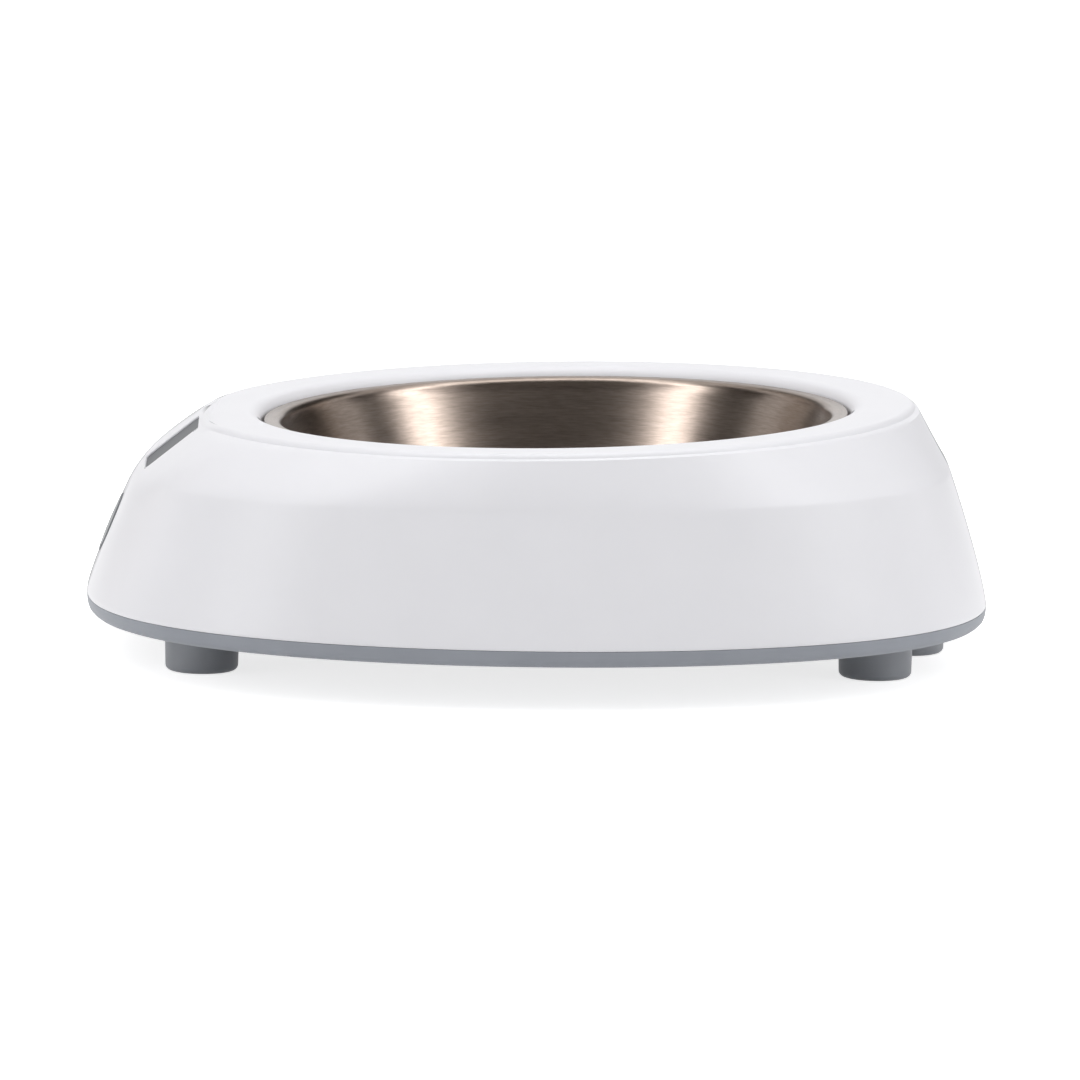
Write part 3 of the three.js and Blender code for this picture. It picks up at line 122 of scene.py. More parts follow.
def edge_distance(half_length, half_width, power):
    """Distance from the middle to the outline's edge at each of ANGLES."""
    low = np.zeros(SIDES)
    high = np.full(SIDES, half_length + half_width)
    across = np.abs(np.cos(ANGLES)) / half_length
    along = np.abs(np.sin(ANGLES)) / half_width
    for _ in range(BISECTIONS):
        middle = (low + high) / 2
        inside = (middle * across) ** 2 + (middle * along) ** power < 1
        low = np.where(inside, middle, low)
        high = np.where(inside, high, middle)
    return (low + high) / 2


def press(points, depth=0):
    """Presses points that stand above the display facet down to it, with a soft edge."""
    crown = points[:, 1] ** 2 * CROWN
    above = (points - FACET_CENTRE) @ FACET_NORMAL + crown + depth
    push = np.maximum(above, 0)
    soft = np.abs(above) < FACET_BLEND
    push = np.where(soft, (above + FACET_BLEND) ** 2 / (4 * FACET_BLEND), push)
    return points - push[:, None] * FACET_NORMAL


def body_ring(height, inset=0, drop=0, depth=0):
    o = outline_at(height)
    distance = edge_distance(o["length"] / 2 - inset, o["width"] / 2 - inset, o["power"])
    x = distance * np.cos(ANGLES)
    z = o["height"] - drop + o["tilt"] * x
    return press(np.column_stack([o["shift"] + x, distance * np.sin(ANGLES), z]), depth)


def opening_ring(radius, depth):
    """Circle about the opening's tilted axis, at a depth below the top ring."""
    x = radius * np.cos(ANGLES)
    y = radius * np.sin(ANGLES)
    c, s = math.cos(TILT), math.sin(TILT)
    z = np.full(SIDES, -float(depth))
    return np.column_stack([c * x - s * z, y, s * x + c * z]) + OPENING_CENTRE


def flat_ring(inset, z):
    ring = body_ring(SEAM["height"], inset)
    ring[:, 2] = z
    return ring


def arc(edge, start=0, end=90):
    """Angles along a rounded edge, in radians."""
    return np.radians(np.linspace(start, end, ARC_POINTS[edge]))


def rounding(edge):
    """Quarter turn as [1 - cos, 1 - sin] pairs, from [0, 1] to [1, 0]."""
    return [(1 - math.cos(a), 1 - math.sin(a)) for a in arc(edge)]


# ------------------------------------------------------------------ mesh tools

def new_object(name, points, faces, smooth=True):
    mesh = bpy.data.meshes.new(name)
    mesh.from_pydata([tuple(p) for p in np.asarray(points) * MM], [], faces)
    mesh.validate()
    mesh.polygons.foreach_set("use_smooth", [smooth] * len(mesh.polygons))
    piece = bpy.data.objects.new(name, mesh)
    bpy.context.scene.collection.objects.link(piece)
    return piece


def loft(name, rings):
    """Closed skin over rings of points; the first and last ring are closed flat."""
    count = len(rings[0])
    faces = [tuple(reversed(range(count)))]
    for level in range(len(rings) - 1):
        a = level * count
        for side in range(count):
            after = (side + 1) % count
            faces.append((a + side, a + after, a + count + after, a + count + side))
    last = (len(rings) - 1) * count
    faces.append(tuple(last + side for side in range(count)))
    return new_object(name, np.concatenate(rings), faces)


def turned(name, profile, place=ORIGIN, sides=SIDES, closed=False):
    """Turned shape from [radius, height] pairs, from the bottom on the axis up to the axis.

    A closed profile is a loop clear of the axis, and turns into a ring.
    """
    angles = np.arange(sides) / sides * 2 * math.pi
    points, faces, starts = [], [], []
    for radius, height in profile:
        starts.append(len(points))
        if radius == 0:
            points.append((0, 0, height))
        else:
            points.extend((radius * math.cos(a), radius * math.sin(a), height) for a in angles)
    for level in range(len(profile) if closed else len(profile) - 1):
        upper = (level + 1) % len(profile)
        a, b = starts[level], starts[upper]
        for side in range(sides):
            after = (side + 1) % sides
            if profile[level][0] == 0:
                faces.append((a, b + after, b + side))
            elif profile[upper][0] == 0:
                faces.append((a + side, a + after, b))
            else:
                faces.append((a + side, a + after, b + after, b + side))
    return new_object(name, [place @ Vector(p) for p in points], faces)


def cylinder(name, radius, low, high, place=ORIGIN, sides=SMALL_SIDES):
    return turned(name, [(0, low), (radius, low), (radius, high), (0, high)], place, sides)


def box(name, low, high):
    corners = [(x, y, z) for z in (low[2], high[2]) for x, y in
               ((low[0], low[1]), (high[0], low[1]), (high[0], high[1]), (low[0], high[1]))]
    faces = [(3, 2, 1, 0), (4, 5, 6, 7), (0, 1, 5, 4), (1, 2, 6, 5), (2, 3, 7, 6), (3, 0, 4, 7)]
    return new_object(name, corners, faces, smooth=False)


def rectangle(name, half_length, half_width):
    signs = ((-1, -1), (1, -1), (1, 1), (-1, 1))
    corners = [(sx * half_length, sy * half_width, 0) for sx, sy in signs]
    return new_object(name, corners, [(0, 1, 2, 3)], smooth=False)


def rounded_outline(length, width, radius):
    points = []
    for sx, sy, start in [(1, 1, 0), (-1, 1, 90), (-1, -1, 180), (1, -1, 270)]:
        for a in arc("window_corner", start, start + 90):
            points.append((sx * (length / 2 - radius) + radius * math.cos(a),
                           sy * (width / 2 - radius) + radius * math.sin(a)))
    return points


def cut(piece, cutters):
    for cutter in cutters:
        modifier = piece.modifiers.new("cut", "BOOLEAN")
        modifier.operation = "DIFFERENCE"
        modifier.solver = "EXACT"
        modifier.object = cutter
        graph = bpy.context.evaluated_depsgraph_get()
        mesh = bpy.data.meshes.new_from_object(piece.evaluated_get(graph))
        piece.modifiers.clear()
        piece.data = mesh
        bpy.data.objects.remove(cutter)
    return piece


def smooth_by_angle(piece, degrees=SHARP_ANGLE):
    """Shades a mesh smooth, with a sharp edge where two faces meet at more than the angle."""
    mesh = piece.data
    mesh.polygons.foreach_set("use_smooth", [True] * len(mesh.polygons))
    mesh.update()
    normals = [p.normal.copy() for p in mesh.polygons]
    sides = {}
    for polygon in mesh.polygons:
        for key in polygon.edge_keys:
            sides.setdefault(key, []).append(polygon.index)
    limit = math.cos(math.radians(degrees))
    for edge in mesh.edges:
        faces = sides.get(edge.key, [])
        if len(faces) == 2 and normals[faces[0]].dot(normals[faces[1]]) < limit:
            edge.use_edge_sharp = True


def group_matrix(origin, slope):
    """Places a group on the front: its x runs up the slope, its y along +Y and its z outwards."""
    up = Vector((math.cos(slope), 0, math.sin(slope)))
    out = Vector((-math.sin(slope), 0, math.cos(slope)))
    matrix = Matrix.Identity(4)
    for row in range(3):
        matrix[row][0], matrix[row][1], matrix[row][2] = up[row], (0, 1, 0)[row], out[row]
        matrix[row][3] = origin[row]
    return matrix


def front_point(height):
    o = sharp_outline(height)
    half = o["length"] / 2
    return np.array([o["shift"] - half, 0, o["height"] - o["tilt"] * half])


# ---------------------------------------------------------------------- places

BUTTON_HEIGHT = 28.053
BUTTON_RADIUS = 5.9
button_low = front_point(BUTTON_HEIGHT - BUTTON_RADIUS)
button_high = front_point(BUTTON_HEIGHT + BUTTON_RADIUS)
BUTTON_SLOPE = math.atan2(button_high[2] - button_low[2], button_high[0] - button_low[0])
BUTTON = group_matrix(front_point(BUTTON_HEIGHT), BUTTON_SLOPE)
DISPLAY = group_matrix(FACET_CENTRE, FACET_SLOPE)
TILTED = Matrix.Translation(Vector(OPENING_CENTRE)) @ Matrix.Rotation(-TILT, 4, "Y")

# --------------------------------------------------------------------- housing

WALL = 2.4
FACET_WALL = 2
INNER_STEP = 2
INNER_RINGS = 12
RING_EDGE = 1.5
RING_TOP_RINGS = 24
LIP = 3

# Small round at the seam, as [rise, inset] pairs
SEAM_EDGE = [(0, 0.12), (0.05, 0.03), (0.15, 0)]
# The outer rings stand close together near the crease: start above the seam, reach, near reach
BAND_START = 0.9
CREASE_REACH = 5
CREASE_NEAR = 4.6
BAND_RINGS = dict(lower=22, crease=26, upper=12)

WELL_WALL = 1.8
WELL_COLLAR = 8
WELL_FLOOR_RADIUS = 55
WELL_CORNER_RUN = 2.5
WELL_CORNER_RISE = 2.6
WELL_CORNER_DEPTH = 30.8
WELL_CORNER_RADIUS = WELL_FLOOR_RADIUS + WELL_CORNER_RUN
WELL_DEPTH = WELL_CORNER_DEPTH + WELL_CORNER_RISE
COLLAR_OUTER = OPENING_RADIUS + WELL_WALL

WINDOW_LENGTH = 15
WINDOW_WIDTH = 21.4
WINDOW_CORNER = 1.8
WINDOW_FILLET = 0.35
WINDOW_CUT = [(0, -2.5), (0.36, 1.5)]
LENS_BORDER = 1.6
REBATE_BORDER = LENS_BORDER + 0.3
SEAT_BORDER = REBATE_BORDER + 1.4
REBATE_LEVELS = [(0, -2.9), (0, -0.6)]
SEAT_LEVELS = [(0, -3.9), (0, -1.9)]

BUTTON_HOLE_RADIUS = 7.1
BUTTON_HOLE_LEVELS = (-4, 1)
TRIM_SEAT_RADIUS = 8.4
TRIM_SEAT_LEVELS = (-4.5, -2.8)

# Cut through the floor of the well, where the load cell carries the weigh tray
STEM_CUT = ((10.5, -8, 16), (29.35, 8, 26.2))


def inner_rings():
    """Underside of the well, then down the inside of the walls."""
    top = RING["height"] - WALL
    rings = [
        opening_ring(WELL_FLOOR_RADIUS, WELL_DEPTH + WELL_WALL),
        opening_ring(WELL_CORNER_RADIUS + WELL_WALL, WELL_CORNER_DEPTH),
        opening_ring(COLLAR_OUTER, WELL_COLLAR),
        opening_ring(COLLAR_OUTER, LIP + WALL),
        press(opening_ring(COLLAR_OUTER + LIP, WALL), FACET_WALL),
        body_ring(top, WALL, depth=FACET_WALL),
    ]
    for height in np.linspace(top - INNER_STEP, SEAM["height"], INNER_RINGS):
        rings.append(body_ring(height, WALL, depth=FACET_WALL))
    return rings


def outer_rings():
    """Outside of the walls from the seam to the top ring, then over the ring to the lip."""
    seam, crease, top = SEAM["height"], CREASE["height"], RING["height"]
    rings = [body_ring(seam + rise, inset) for rise, inset in SEAM_EDGE]
    lower = np.linspace(seam + BAND_START, crease - CREASE_REACH, BAND_RINGS["lower"])
    middle = np.linspace(crease - CREASE_NEAR, crease + CREASE_NEAR, BAND_RINGS["crease"])
    upper = np.linspace(crease + CREASE_REACH, top - RING_EDGE, BAND_RINGS["upper"])
    rings += [body_ring(height) for height in [*lower, *middle, *upper]]
    for run, drop in rounding("ring_edge")[1:]:
        rings.append(body_ring(top, RING_EDGE * run, RING_EDGE * drop))
    flat_start = body_ring(top, RING_EDGE)
    flat_end = opening_ring(OPENING_RADIUS + LIP, 0)
    for share in np.linspace(0, 1, RING_TOP_RINGS)[1:-1]:
        rings.append(press(flat_start + (flat_end - flat_start) * share))
    return rings


def well_rings():
    """Inside of the well from the lip down to its floor."""
    rings = [opening_ring(OPENING_RADIUS + LIP * out, LIP * down) for down, out in rounding("lip")]
    rings.append(opening_ring(OPENING_RADIUS, WELL_COLLAR))
    rings.append(opening_ring(WELL_CORNER_RADIUS, WELL_CORNER_DEPTH))
    for angle in arc("well_corner")[1:]:
        radius = WELL_CORNER_RADIUS - WELL_CORNER_RUN * (1 - math.cos(angle))
        rings.append(opening_ring(radius, WELL_CORNER_DEPTH + WELL_CORNER_RISE * math.sin(angle)))
    return rings


def window_block(name, border, levels, crown=0):
    """Rounded block round the display window at [grow, height] levels, bent along its width."""
    rings = []
    for grow, height in levels:
        reach = 2 * (border + grow)
        outline = rounded_outline(WINDOW_LENGTH + reach, WINDOW_WIDTH + reach, WINDOW_CORNER + grow)
        points = [(x, y, height - crown * y * y) for x, y in outline]
        rings.append(np.array([DISPLAY @ Vector(p) for p in points]))
    return loft(name, rings)


def make_housing():
    housing = loft("housing_shell", [*inner_rings(), *outer_rings(), *well_rings()])
    fillet = [(WINDOW_FILLET * out, -WINDOW_FILLET * down)
              for out, down in rounding("window_fillet")]
    return cut(housing, [
        window_block("window_cut", 0, [WINDOW_CUT[0], *fillet, WINDOW_CUT[1]], CROWN),
        window_block("rebate_cut", REBATE_BORDER, REBATE_LEVELS),
        window_block("seat_cut", SEAT_BORDER, SEAT_LEVELS),
        cylinder("button_cut", BUTTON_HOLE_RADIUS, *BUTTON_HOLE_LEVELS, BUTTON),
        cylinder("ring_cut", TRIM_SEAT_RADIUS, *TRIM_SEAT_LEVELS, BUTTON),
        box("stem_cut", *STEM_CUT),
    ])


# ------------------------------------------------------------------------ base

# Skirt from the underside to the seam, then the wall and the inside, as [inset, z] pairs
BASE_PROFILE = [
    (3.2, 9.6), (2.2, 9.63), (1.3, 9.95), (0.75, 10.35), (0.35, 10.8), (0.12, 11.5), (0.02, 12.3),
    (0, 13.28), (0.03, 13.32), (0.1, 13.34), (3.2, 13.34), (3.2, 15.2), (4.8, 15.2), (4.8, 11.6),
]
CUT_LOW = 8.6
DOOR_CUT = ((-26.3, 59.3, CUT_LOW), (26.3, 82.1, 20))
SCREW_PLACES = [(-57, -57), (-57, 57), (57, -57), (57, 57)]
SCREW_WELL_RADIUS = 3.3
SCREW_WELL_TOP = 14
CELL_PLACES = [(-15.65, 0), (-8.65, 0)]
CELL_WELL_RADIUS = 3
CELL_WELL_TOP = 10.9

FEET = {
    "front_left": (-74, -34.6),
    "front_right": (-74, 34.6),
    "rear_left": (74, -34.6),
    "rear_right": (74, 34.6),
    "rear_centre": (83.4, 0),
}
FOOT_POCKET_RADIUS = 8.35
FOOT_POCKET_TOP = 10.6
FOOT_SOLE_RADIUS = 8
FOOT_EDGE = 1.2
# From the foot's side over its top and up its barbed peg, as [radius, height] pairs
FOOT_TOP = [(8.2, 10.5), (2, 10.5), (2, 11.7), (2.7, 11.7), (2, 13.9), (0, 13.9)]


def wells(name, places, radius, top, sides):
    return [cylinder(name, radius, CUT_LOW, top, Matrix.Translation((x, y, 0)), sides)
            for x, y in places]


def make_base():
    return cut(loft("base_shell", [flat_ring(inset, z) for inset, z in BASE_PROFILE]), [
        box("door_cut", *DOOR_CUT),
        *wells("screw_cut", SCREW_PLACES, SCREW_WELL_RADIUS, SCREW_WELL_TOP, WELL_SIDES),
        *wells("cell_cut", CELL_PLACES, CELL_WELL_RADIUS, CELL_WELL_TOP, WELL_SIDES),
        *wells("foot_cut", FEET.values(), FOOT_POCKET_RADIUS, FOOT_POCKET_TOP, SMALL_SIDES),
    ])


def make_foot(name, x, y):
    edge = [(FOOT_SOLE_RADIUS - FOOT_EDGE * run, FOOT_EDGE * rise)
            for rise, run in rounding("foot_edge")]
    return turned(name, [(0, 0), *edge, *FOOT_TOP], Matrix.Translation((x, y, 0)), SMALL_SIDES)


# ------------------------------------------------------------------------ bowl

BOWL_SHEET = 0.7
BOWL_SHOULDER = 1.6
BOWL_CORNER = 9
BOWL_BOTTOM = -29.7
BOWL_TOP = -1.95
CORNER_RADIUS = 44.6
SHOULDER_RADIUS = 62.8
RIM_INNER = 64.3
RIM_OUTER = 65
RIM_DROP = 1.2
RIM_EDGE = 0.35
FLOOR_RINGS = (30, 15)


def make_bowl():
    floor = BOWL_BOTTOM + BOWL_SHEET
    shoulder_level = BOWL_TOP - BOWL_SHOULDER

    def corner(radius, angles):
        return [(CORNER_RADIUS + radius * math.sin(a), floor + BOWL_CORNER - radius * math.cos(a))
                for a in angles]

    def shoulder(radius, angles):
        return [(SHOULDER_RADIUS - radius * math.cos(a), shoulder_level + radius * math.sin(a))
                for a in angles]

    outer = corner(BOWL_CORNER + BOWL_SHEET, arc("dish_outer_corner"))
    under = shoulder(BOWL_SHOULDER - BOWL_SHEET, arc("dish_under_shoulder"))
    rim = [(RIM_INNER, BOWL_TOP - BOWL_SHEET), (RIM_INNER, BOWL_TOP - RIM_DROP),
           (RIM_OUTER, BOWL_TOP - RIM_DROP)]
    edge = [(RIM_OUTER - RIM_EDGE * run, BOWL_TOP - RIM_EDGE * drop)
            for run, drop in rounding("dish_rim")]
    over = shoulder(BOWL_SHOULDER, arc("dish_shoulder", 90, 0))
    inner = corner(BOWL_CORNER, arc("dish_corner", 90, 0))
    start, stop = np.array(over[-1]), np.array(inner[0])
    shares = np.linspace(0, 1, ARC_POINTS["dish_wall"])[1:-1]
    wall = [tuple(start + (stop - start) * share) for share in shares]
    flat = [(radius, floor) for radius in FLOOR_RINGS]
    outside = [(0, BOWL_BOTTOM), *outer, *under, *rim, *edge]
    return turned("steel_dish", [*outside, *over, *wall, *inner, *flat, (0, floor)], TILTED)


# -------------------------------------------------------------- display, button

LENS_LEVELS = [(-0.2, -1.9), (0, -1.7), (0, -0.66), (-0.04, -0.62)]

TRIM_BORE = 6.1
TRIM_RADIUS = 6.9
TRIM_FLANGE = 8.1
TRIM_FLANGE_TOP = -3.1
TRIM_BOTTOM = -4.2
TRIM_PROUD = 0.25

DOME_EDGE = 0.4
DOME_EDGE_LOW = -0.05
DOME_EDGE_RISE = 0.25
DOME_CROWN = 0.3
DOME_TOP = 0.5
# Stem, skirt and collar behind the dome, as [radius, height] pairs
BUTTON_BACK = [
    (0, -8), (1.6, -8), (1.6, -1.1), (4.8, -1.1), (4.8, -5.8), (7, -5.8), (7, -4.7),
    (BUTTON_RADIUS, -4.7),
]


def make_lens():
    return window_block("display_lens", LENS_BORDER, LENS_LEVELS)


def make_ring():
    outer, inner = TRIM_RADIUS - TRIM_PROUD, TRIM_BORE + TRIM_PROUD
    profile = [(TRIM_BORE, TRIM_BOTTOM), (TRIM_FLANGE, TRIM_BOTTOM), (TRIM_FLANGE, TRIM_FLANGE_TOP),
               (TRIM_RADIUS, TRIM_FLANGE_TOP), (TRIM_RADIUS, 0)]
    profile += [(outer + TRIM_PROUD * math.cos(a), TRIM_PROUD * math.sin(a))
                for a in arc("trim_edge")[1:]]
    profile += [(inner - TRIM_PROUD * math.sin(a), TRIM_PROUD * math.cos(a))
                for a in arc("trim_edge")]
    return turned("button_trim", profile, BUTTON, SMALL_SIDES, closed=True)


def make_button():
    dome = [(BUTTON_RADIUS - DOME_EDGE * (1 - math.cos(a)),
             DOME_EDGE_LOW + DOME_EDGE_RISE * math.sin(a)) for a in arc("dome_edge")]
    dome += [((BUTTON_RADIUS - DOME_EDGE) * math.cos(a), DOME_TOP - DOME_CROWN * (1 - math.sin(a)))
             for a in arc("dome_crown")[1:-1]]
    return turned("button_dome", [*BUTTON_BACK, *dome, (0, DOME_TOP)], BUTTON, SMALL_SIDES)


# ------------------------------------------------------------------- materials

# Depths of the surface grain, in metres
LENS_GRAIN = 0.000003
FINE_GRAIN = 0.00001
GRAIN = 0.00002
RUBBER_GRAIN = 0.00003
# The broad mottle is this many times coarser than the grain
MOTTLE = 12
METAL = dict(spread=4, depth=FINE_GRAIN, strength=0.2, metallic=1)

# Painted edge shade: blend of the facing ramp, and the gloss kept away from the painted dark
# outline
EDGE_SHADE_BLEND = 0.5
EDGE_SHADE_GLOSS = 0.36

STEEL_TINTS = ((138, 126, 117), (159, 146, 137))
STEEL_ROUGHNESS = (0.26, 0.34)
# Lengthens the brush marks along the turn: metres of noise per radian
STEEL_STRETCH = 0.006
STEEL_FINE = 2600
STEEL_BROAD = 420
STEEL_BUMP = 0.25
STEEL_ANISOTROPY = 0.8
STEEL_TURN = 0.25


def nodes_of(name):
    material = bpy.data.materials.new(name)
    material.use_nodes = True
    tree = material.node_tree
    return material, tree, tree.nodes["Principled BSDF"]


def link(tree, a, b):
    tree.links.new(a, b)


def object_coordinates(tree, offset=(0, 0, 0)):
    coordinates = tree.nodes.new("ShaderNodeTexCoord")
    mapping = tree.nodes.new("ShaderNodeMapping")
    mapping.inputs["Location"].default_value = offset
    link(tree, coordinates.outputs["Object"], mapping.inputs["Vector"])
    return mapping.outputs["Vector"]


def maths(tree, operation, first, second):
    """Result of a maths node over two sockets; the second may be a number."""
    node = tree.nodes.new("ShaderNodeMath")
    node.operation = operation
    link(tree, first, node.inputs[0])
    if isinstance(second, (int, float)):
        node.inputs[1].default_value = second
    else:
        link(tree, second, node.inputs[1])
    return node.outputs["Value"]


def joined(tree, **axes):
    node = tree.nodes.new("ShaderNodeCombineXYZ")
    for axis, value in axes.items():
        link(tree, value, node.inputs[axis])
    return node.outputs["Vector"]


def noise(tree, vector, scale, detail=3, roughness=0.5):
    node = tree.nodes.new("ShaderNodeTexNoise")
    node.inputs["Scale"].default_value = scale
    node.inputs["Detail"].default_value = detail
    node.inputs["Roughness"].default_value = roughness
    link(tree, vector, node.inputs["Vector"])
    return node.outputs["Fac"]


def remap(tree, value, low, high, start=0, stop=1):
    """Maps start..stop to low..high, and keeps within them."""
    node = tree.nodes.new("ShaderNodeMapRange")
    node.inputs["From Min"].default_value = start
    node.inputs["From Max"].default_value = stop
    node.inputs["To Min"].default_value = low
    node.inputs["To Max"].default_value = high
    link(tree, value, node.inputs["Value"])
    return node.outputs["Result"]


def bump(tree, shader, value, strength, distance):
    node = tree.nodes.new("ShaderNodeBump")
    node.inputs["Strength"].default_value = strength
    node.inputs["Distance"].default_value = distance
    link(tree, value, node.inputs["Height"])
    link(tree, node.outputs["Normal"], shader.inputs["Normal"])


def tint(tree, shader, value, low, high):
    ramp = tree.nodes.new("ShaderNodeValToRGB")
    for element, position, colour in zip(ramp.color_ramp.elements, (0.3, 0.7), (low, high)):
        element.position = position
        element.color = (*linear(colour), 1)
    link(tree, value, ramp.inputs["Fac"])
    link(tree, ramp.outputs["Color"], shader.inputs["Base Color"])


def linear(colour):
    """Linear colour from sRGB values out of 255."""
    def channel(c):
        c = c / 255
        return c / 12.92 if c <= 0.04045 else ((c + 0.055) / 1.055) ** 2.4
    return tuple(channel(c) for c in colour)


def plain(name, colour, rough, grain, spread, roughness_spread=0.04, depth=GRAIN, strength=0.15,
          metallic=0, specular=0.5):
    """Solid material with a slight mottle in colour and roughness and a fine surface grain."""
    material, tree, shader = nodes_of(name)
    vector = object_coordinates(tree)
    broad = noise(tree, vector, grain / MOTTLE, detail=4)
    fine = noise(tree, vector, grain, detail=2)
    low = tuple(max(c - spread, 0) for c in colour)
    high = tuple(min(c + spread, 255) for c in colour)
    tint(tree, shader, broad, low, high)
    roughness = remap(tree, fine, rough - roughness_spread, rough + roughness_spread)
    link(tree, roughness, shader.inputs["Roughness"])
    bump(tree, shader, fine, strength, depth)
    shader.inputs["Metallic"].default_value = metallic
    shader.inputs["Specular IOR Level"].default_value = specular
    return material


def painted_edge_shade(material, colour, low, high):
    """Paints shade onto pale plastic: darker and less glossy where the surface leaves the eye, a
    painted dark outline at the silhouettes.
    """
    tree = material.node_tree
    shader = tree.nodes["Principled BSDF"]
    weight = tree.nodes.new("ShaderNodeLayerWeight")
    weight.inputs["Blend"].default_value = EDGE_SHADE_BLEND
    share = remap(tree, weight.outputs["Facing"], 0, 1, low, high)
    # Painted shade: mixes the darker colour in towards the outline
    mix = tree.nodes.new("ShaderNodeMix")
    mix.data_type = "RGBA"
    mix.inputs["B"].default_value = (*linear(colour), 1)
    link(tree, share, mix.inputs["Factor"])
    link(tree, shader.inputs["Base Color"].links[0].from_socket, mix.inputs["A"])
    link(tree, mix.outputs["Result"], shader.inputs["Base Color"])
    link(tree, remap(tree, share, EDGE_SHADE_GLOSS, 0), shader.inputs["Specular IOR Level"])


def brushed_steel():
    """Steel with brushing that runs round the dish's own axis."""
    material, tree, shader = nodes_of("brushed_bowl_steel")
    split = tree.nodes.new("ShaderNodeSeparateXYZ")
    link(tree, object_coordinates(tree, tuple(-OPENING_CENTRE * MM)), split.inputs["Vector"])
    x, y, z = (split.outputs[axis] for axis in "XYZ")
    radius = tree.nodes.new("ShaderNodeVectorMath")
    radius.operation = "LENGTH"
    link(tree, joined(tree, X=x, Y=y), radius.inputs[0])
    turn = maths(tree, "MULTIPLY", maths(tree, "ARCTAN2", y, x), STEEL_STRETCH)
    line = joined(tree, X=radius.outputs["Value"], Y=turn, Z=z)
    fine = noise(tree, line, STEEL_FINE, roughness=0.6)
    broad = noise(tree, line, STEEL_BROAD, detail=2)
    tint(tree, shader, fine, *STEEL_TINTS)
    link(tree, remap(tree, broad, *STEEL_ROUGHNESS), shader.inputs["Roughness"])
    bump(tree, shader, fine, STEEL_BUMP, GRAIN)
    tangent = tree.nodes.new("ShaderNodeTangent")
    tangent.direction_type = "RADIAL"
    tangent.axis = "Z"
    link(tree, tangent.outputs["Tangent"], shader.inputs["Tangent"])
    shader.inputs["Metallic"].default_value = 1
    shader.inputs["Anisotropic"].default_value = STEEL_ANISOTROPY
    shader.inputs["Anisotropic Rotation"].default_value = STEEL_TURN
    return material


def make_materials():
    """Material of each slot in the record."""
    white = plain("white_gloss_shell", (233, 233, 237), 0.4, grain=700, spread=1,
                  roughness_spread=0.015, depth=FINE_GRAIN, strength=0.05)
    # Painted shade: darker grey (120, 122, 126) on the white shell where it turns away from the eye
    painted_edge_shade(white, (120, 122, 126), low=0.94, high=0.985)
    button = plain("button_grey", (150, 153, 157), 0.4, grain=1300, spread=2)
    # Painted shade: darker grey (84, 87, 91) at the button's outline where it turns away from the
    # eye
    painted_edge_shade(button, (84, 87, 91), low=0.93, high=0.99)
    return {
        "white_shell": white,
        "grey_shell": plain("grey_matt_shell", (143, 147, 155), 0.5, grain=1200, spread=3),
        "foot_rubber": plain("foot_rubber", (148, 151, 157), 0.5, grain=1500, spread=4,
                             roughness_spread=0.05, depth=RUBBER_GRAIN, strength=0.25,
                             specular=0.6),
        "bowl_steel": brushed_steel(),
        "cell_aluminium": plain("cell_aluminium", (190, 193, 198), 0.38, grain=2200,
                                roughness_spread=0.06, **METAL),
        "tray_plastic": plain("tray_plastic", (217, 218, 221), 0.5, grain=1100, spread=3),
        "lens_dark": plain("lens_dark", (94, 96, 100), 0.4, grain=500, spread=1,
                           roughness_spread=0.01, depth=LENS_GRAIN, strength=0.03, specular=0.1),
        "display_face": plain("display_face", (140, 154, 138), 0.15, grain=500, spread=2,
                              roughness_spread=0.01),
        "ring_grey": plain("ring_grey", (104, 107, 112), 0.45, grain=1300, spread=3),
        "button_grey": button,
        "board": plain("board_laminate", (31, 90, 58), 0.4, grain=900, spread=5),
        "chip": plain("chip_resin", (26, 27, 29), 0.5, grain=1800, spread=3),
        "socket": plain("socket_plastic", (228, 224, 210), 0.5, grain=1200, spread=3),
        "battery_wrap": plain("battery_wrap", (44, 63, 87), 0.3, grain=600, spread=3),
        "contact": plain("contact_metal", (200, 202, 206), 0.25, grain=1500,
                         roughness_spread=0.05, **METAL),
        "lead": plain("lead_skin", (32, 33, 36), 0.6, grain=1500, spread=3),
        "screw_steel": plain("screw_zinc", (168, 171, 177), 0.36, grain=1800,
                             roughness_spread=0.06, **METAL),
    }


# ----------------------------------------------------------------------- stage

WORLD_STRENGTH = 0.48
FLOOR_GLOW = 0.75
FLOOR_GREY = 0.8
MATT = 0.9
# Half the floor's side in millimetres, and its drop below the feet in metres
FLOOR_HALF = 6000
FLOOR_DROP = 0.0002

# Cards that the steel and the gloss reflect: the side cards as start and stop bearings, in
# degrees from the camera's side towards +X
DARK_CARD = (0.02, 0.016, 0.013)
PALE_CARD = (0.9, 0.82, 0.75)
CARD_DISTANCE = 2.4
CARD_HEIGHT = 2.4
CARD_MIDDLE = 1.25
SIDE_CARDS = [
    ("left_dark_card", -105, -71, DARK_CARD),
    ("left_pale_card", -144, -123, PALE_CARD),
    ("left_back_card", -156, -144, DARK_CARD),
    ("right_dark_card", 82, 99, DARK_CARD),
    ("right_pale_card", 115, 123, PALE_CARD),
    ("right_back_card", 123, 160, DARK_CARD),
]
FRONT_CARD_PLACE = (0, -1.75, 1.6)
FRONT_CARD_SIZE = (4.2, 3.2)

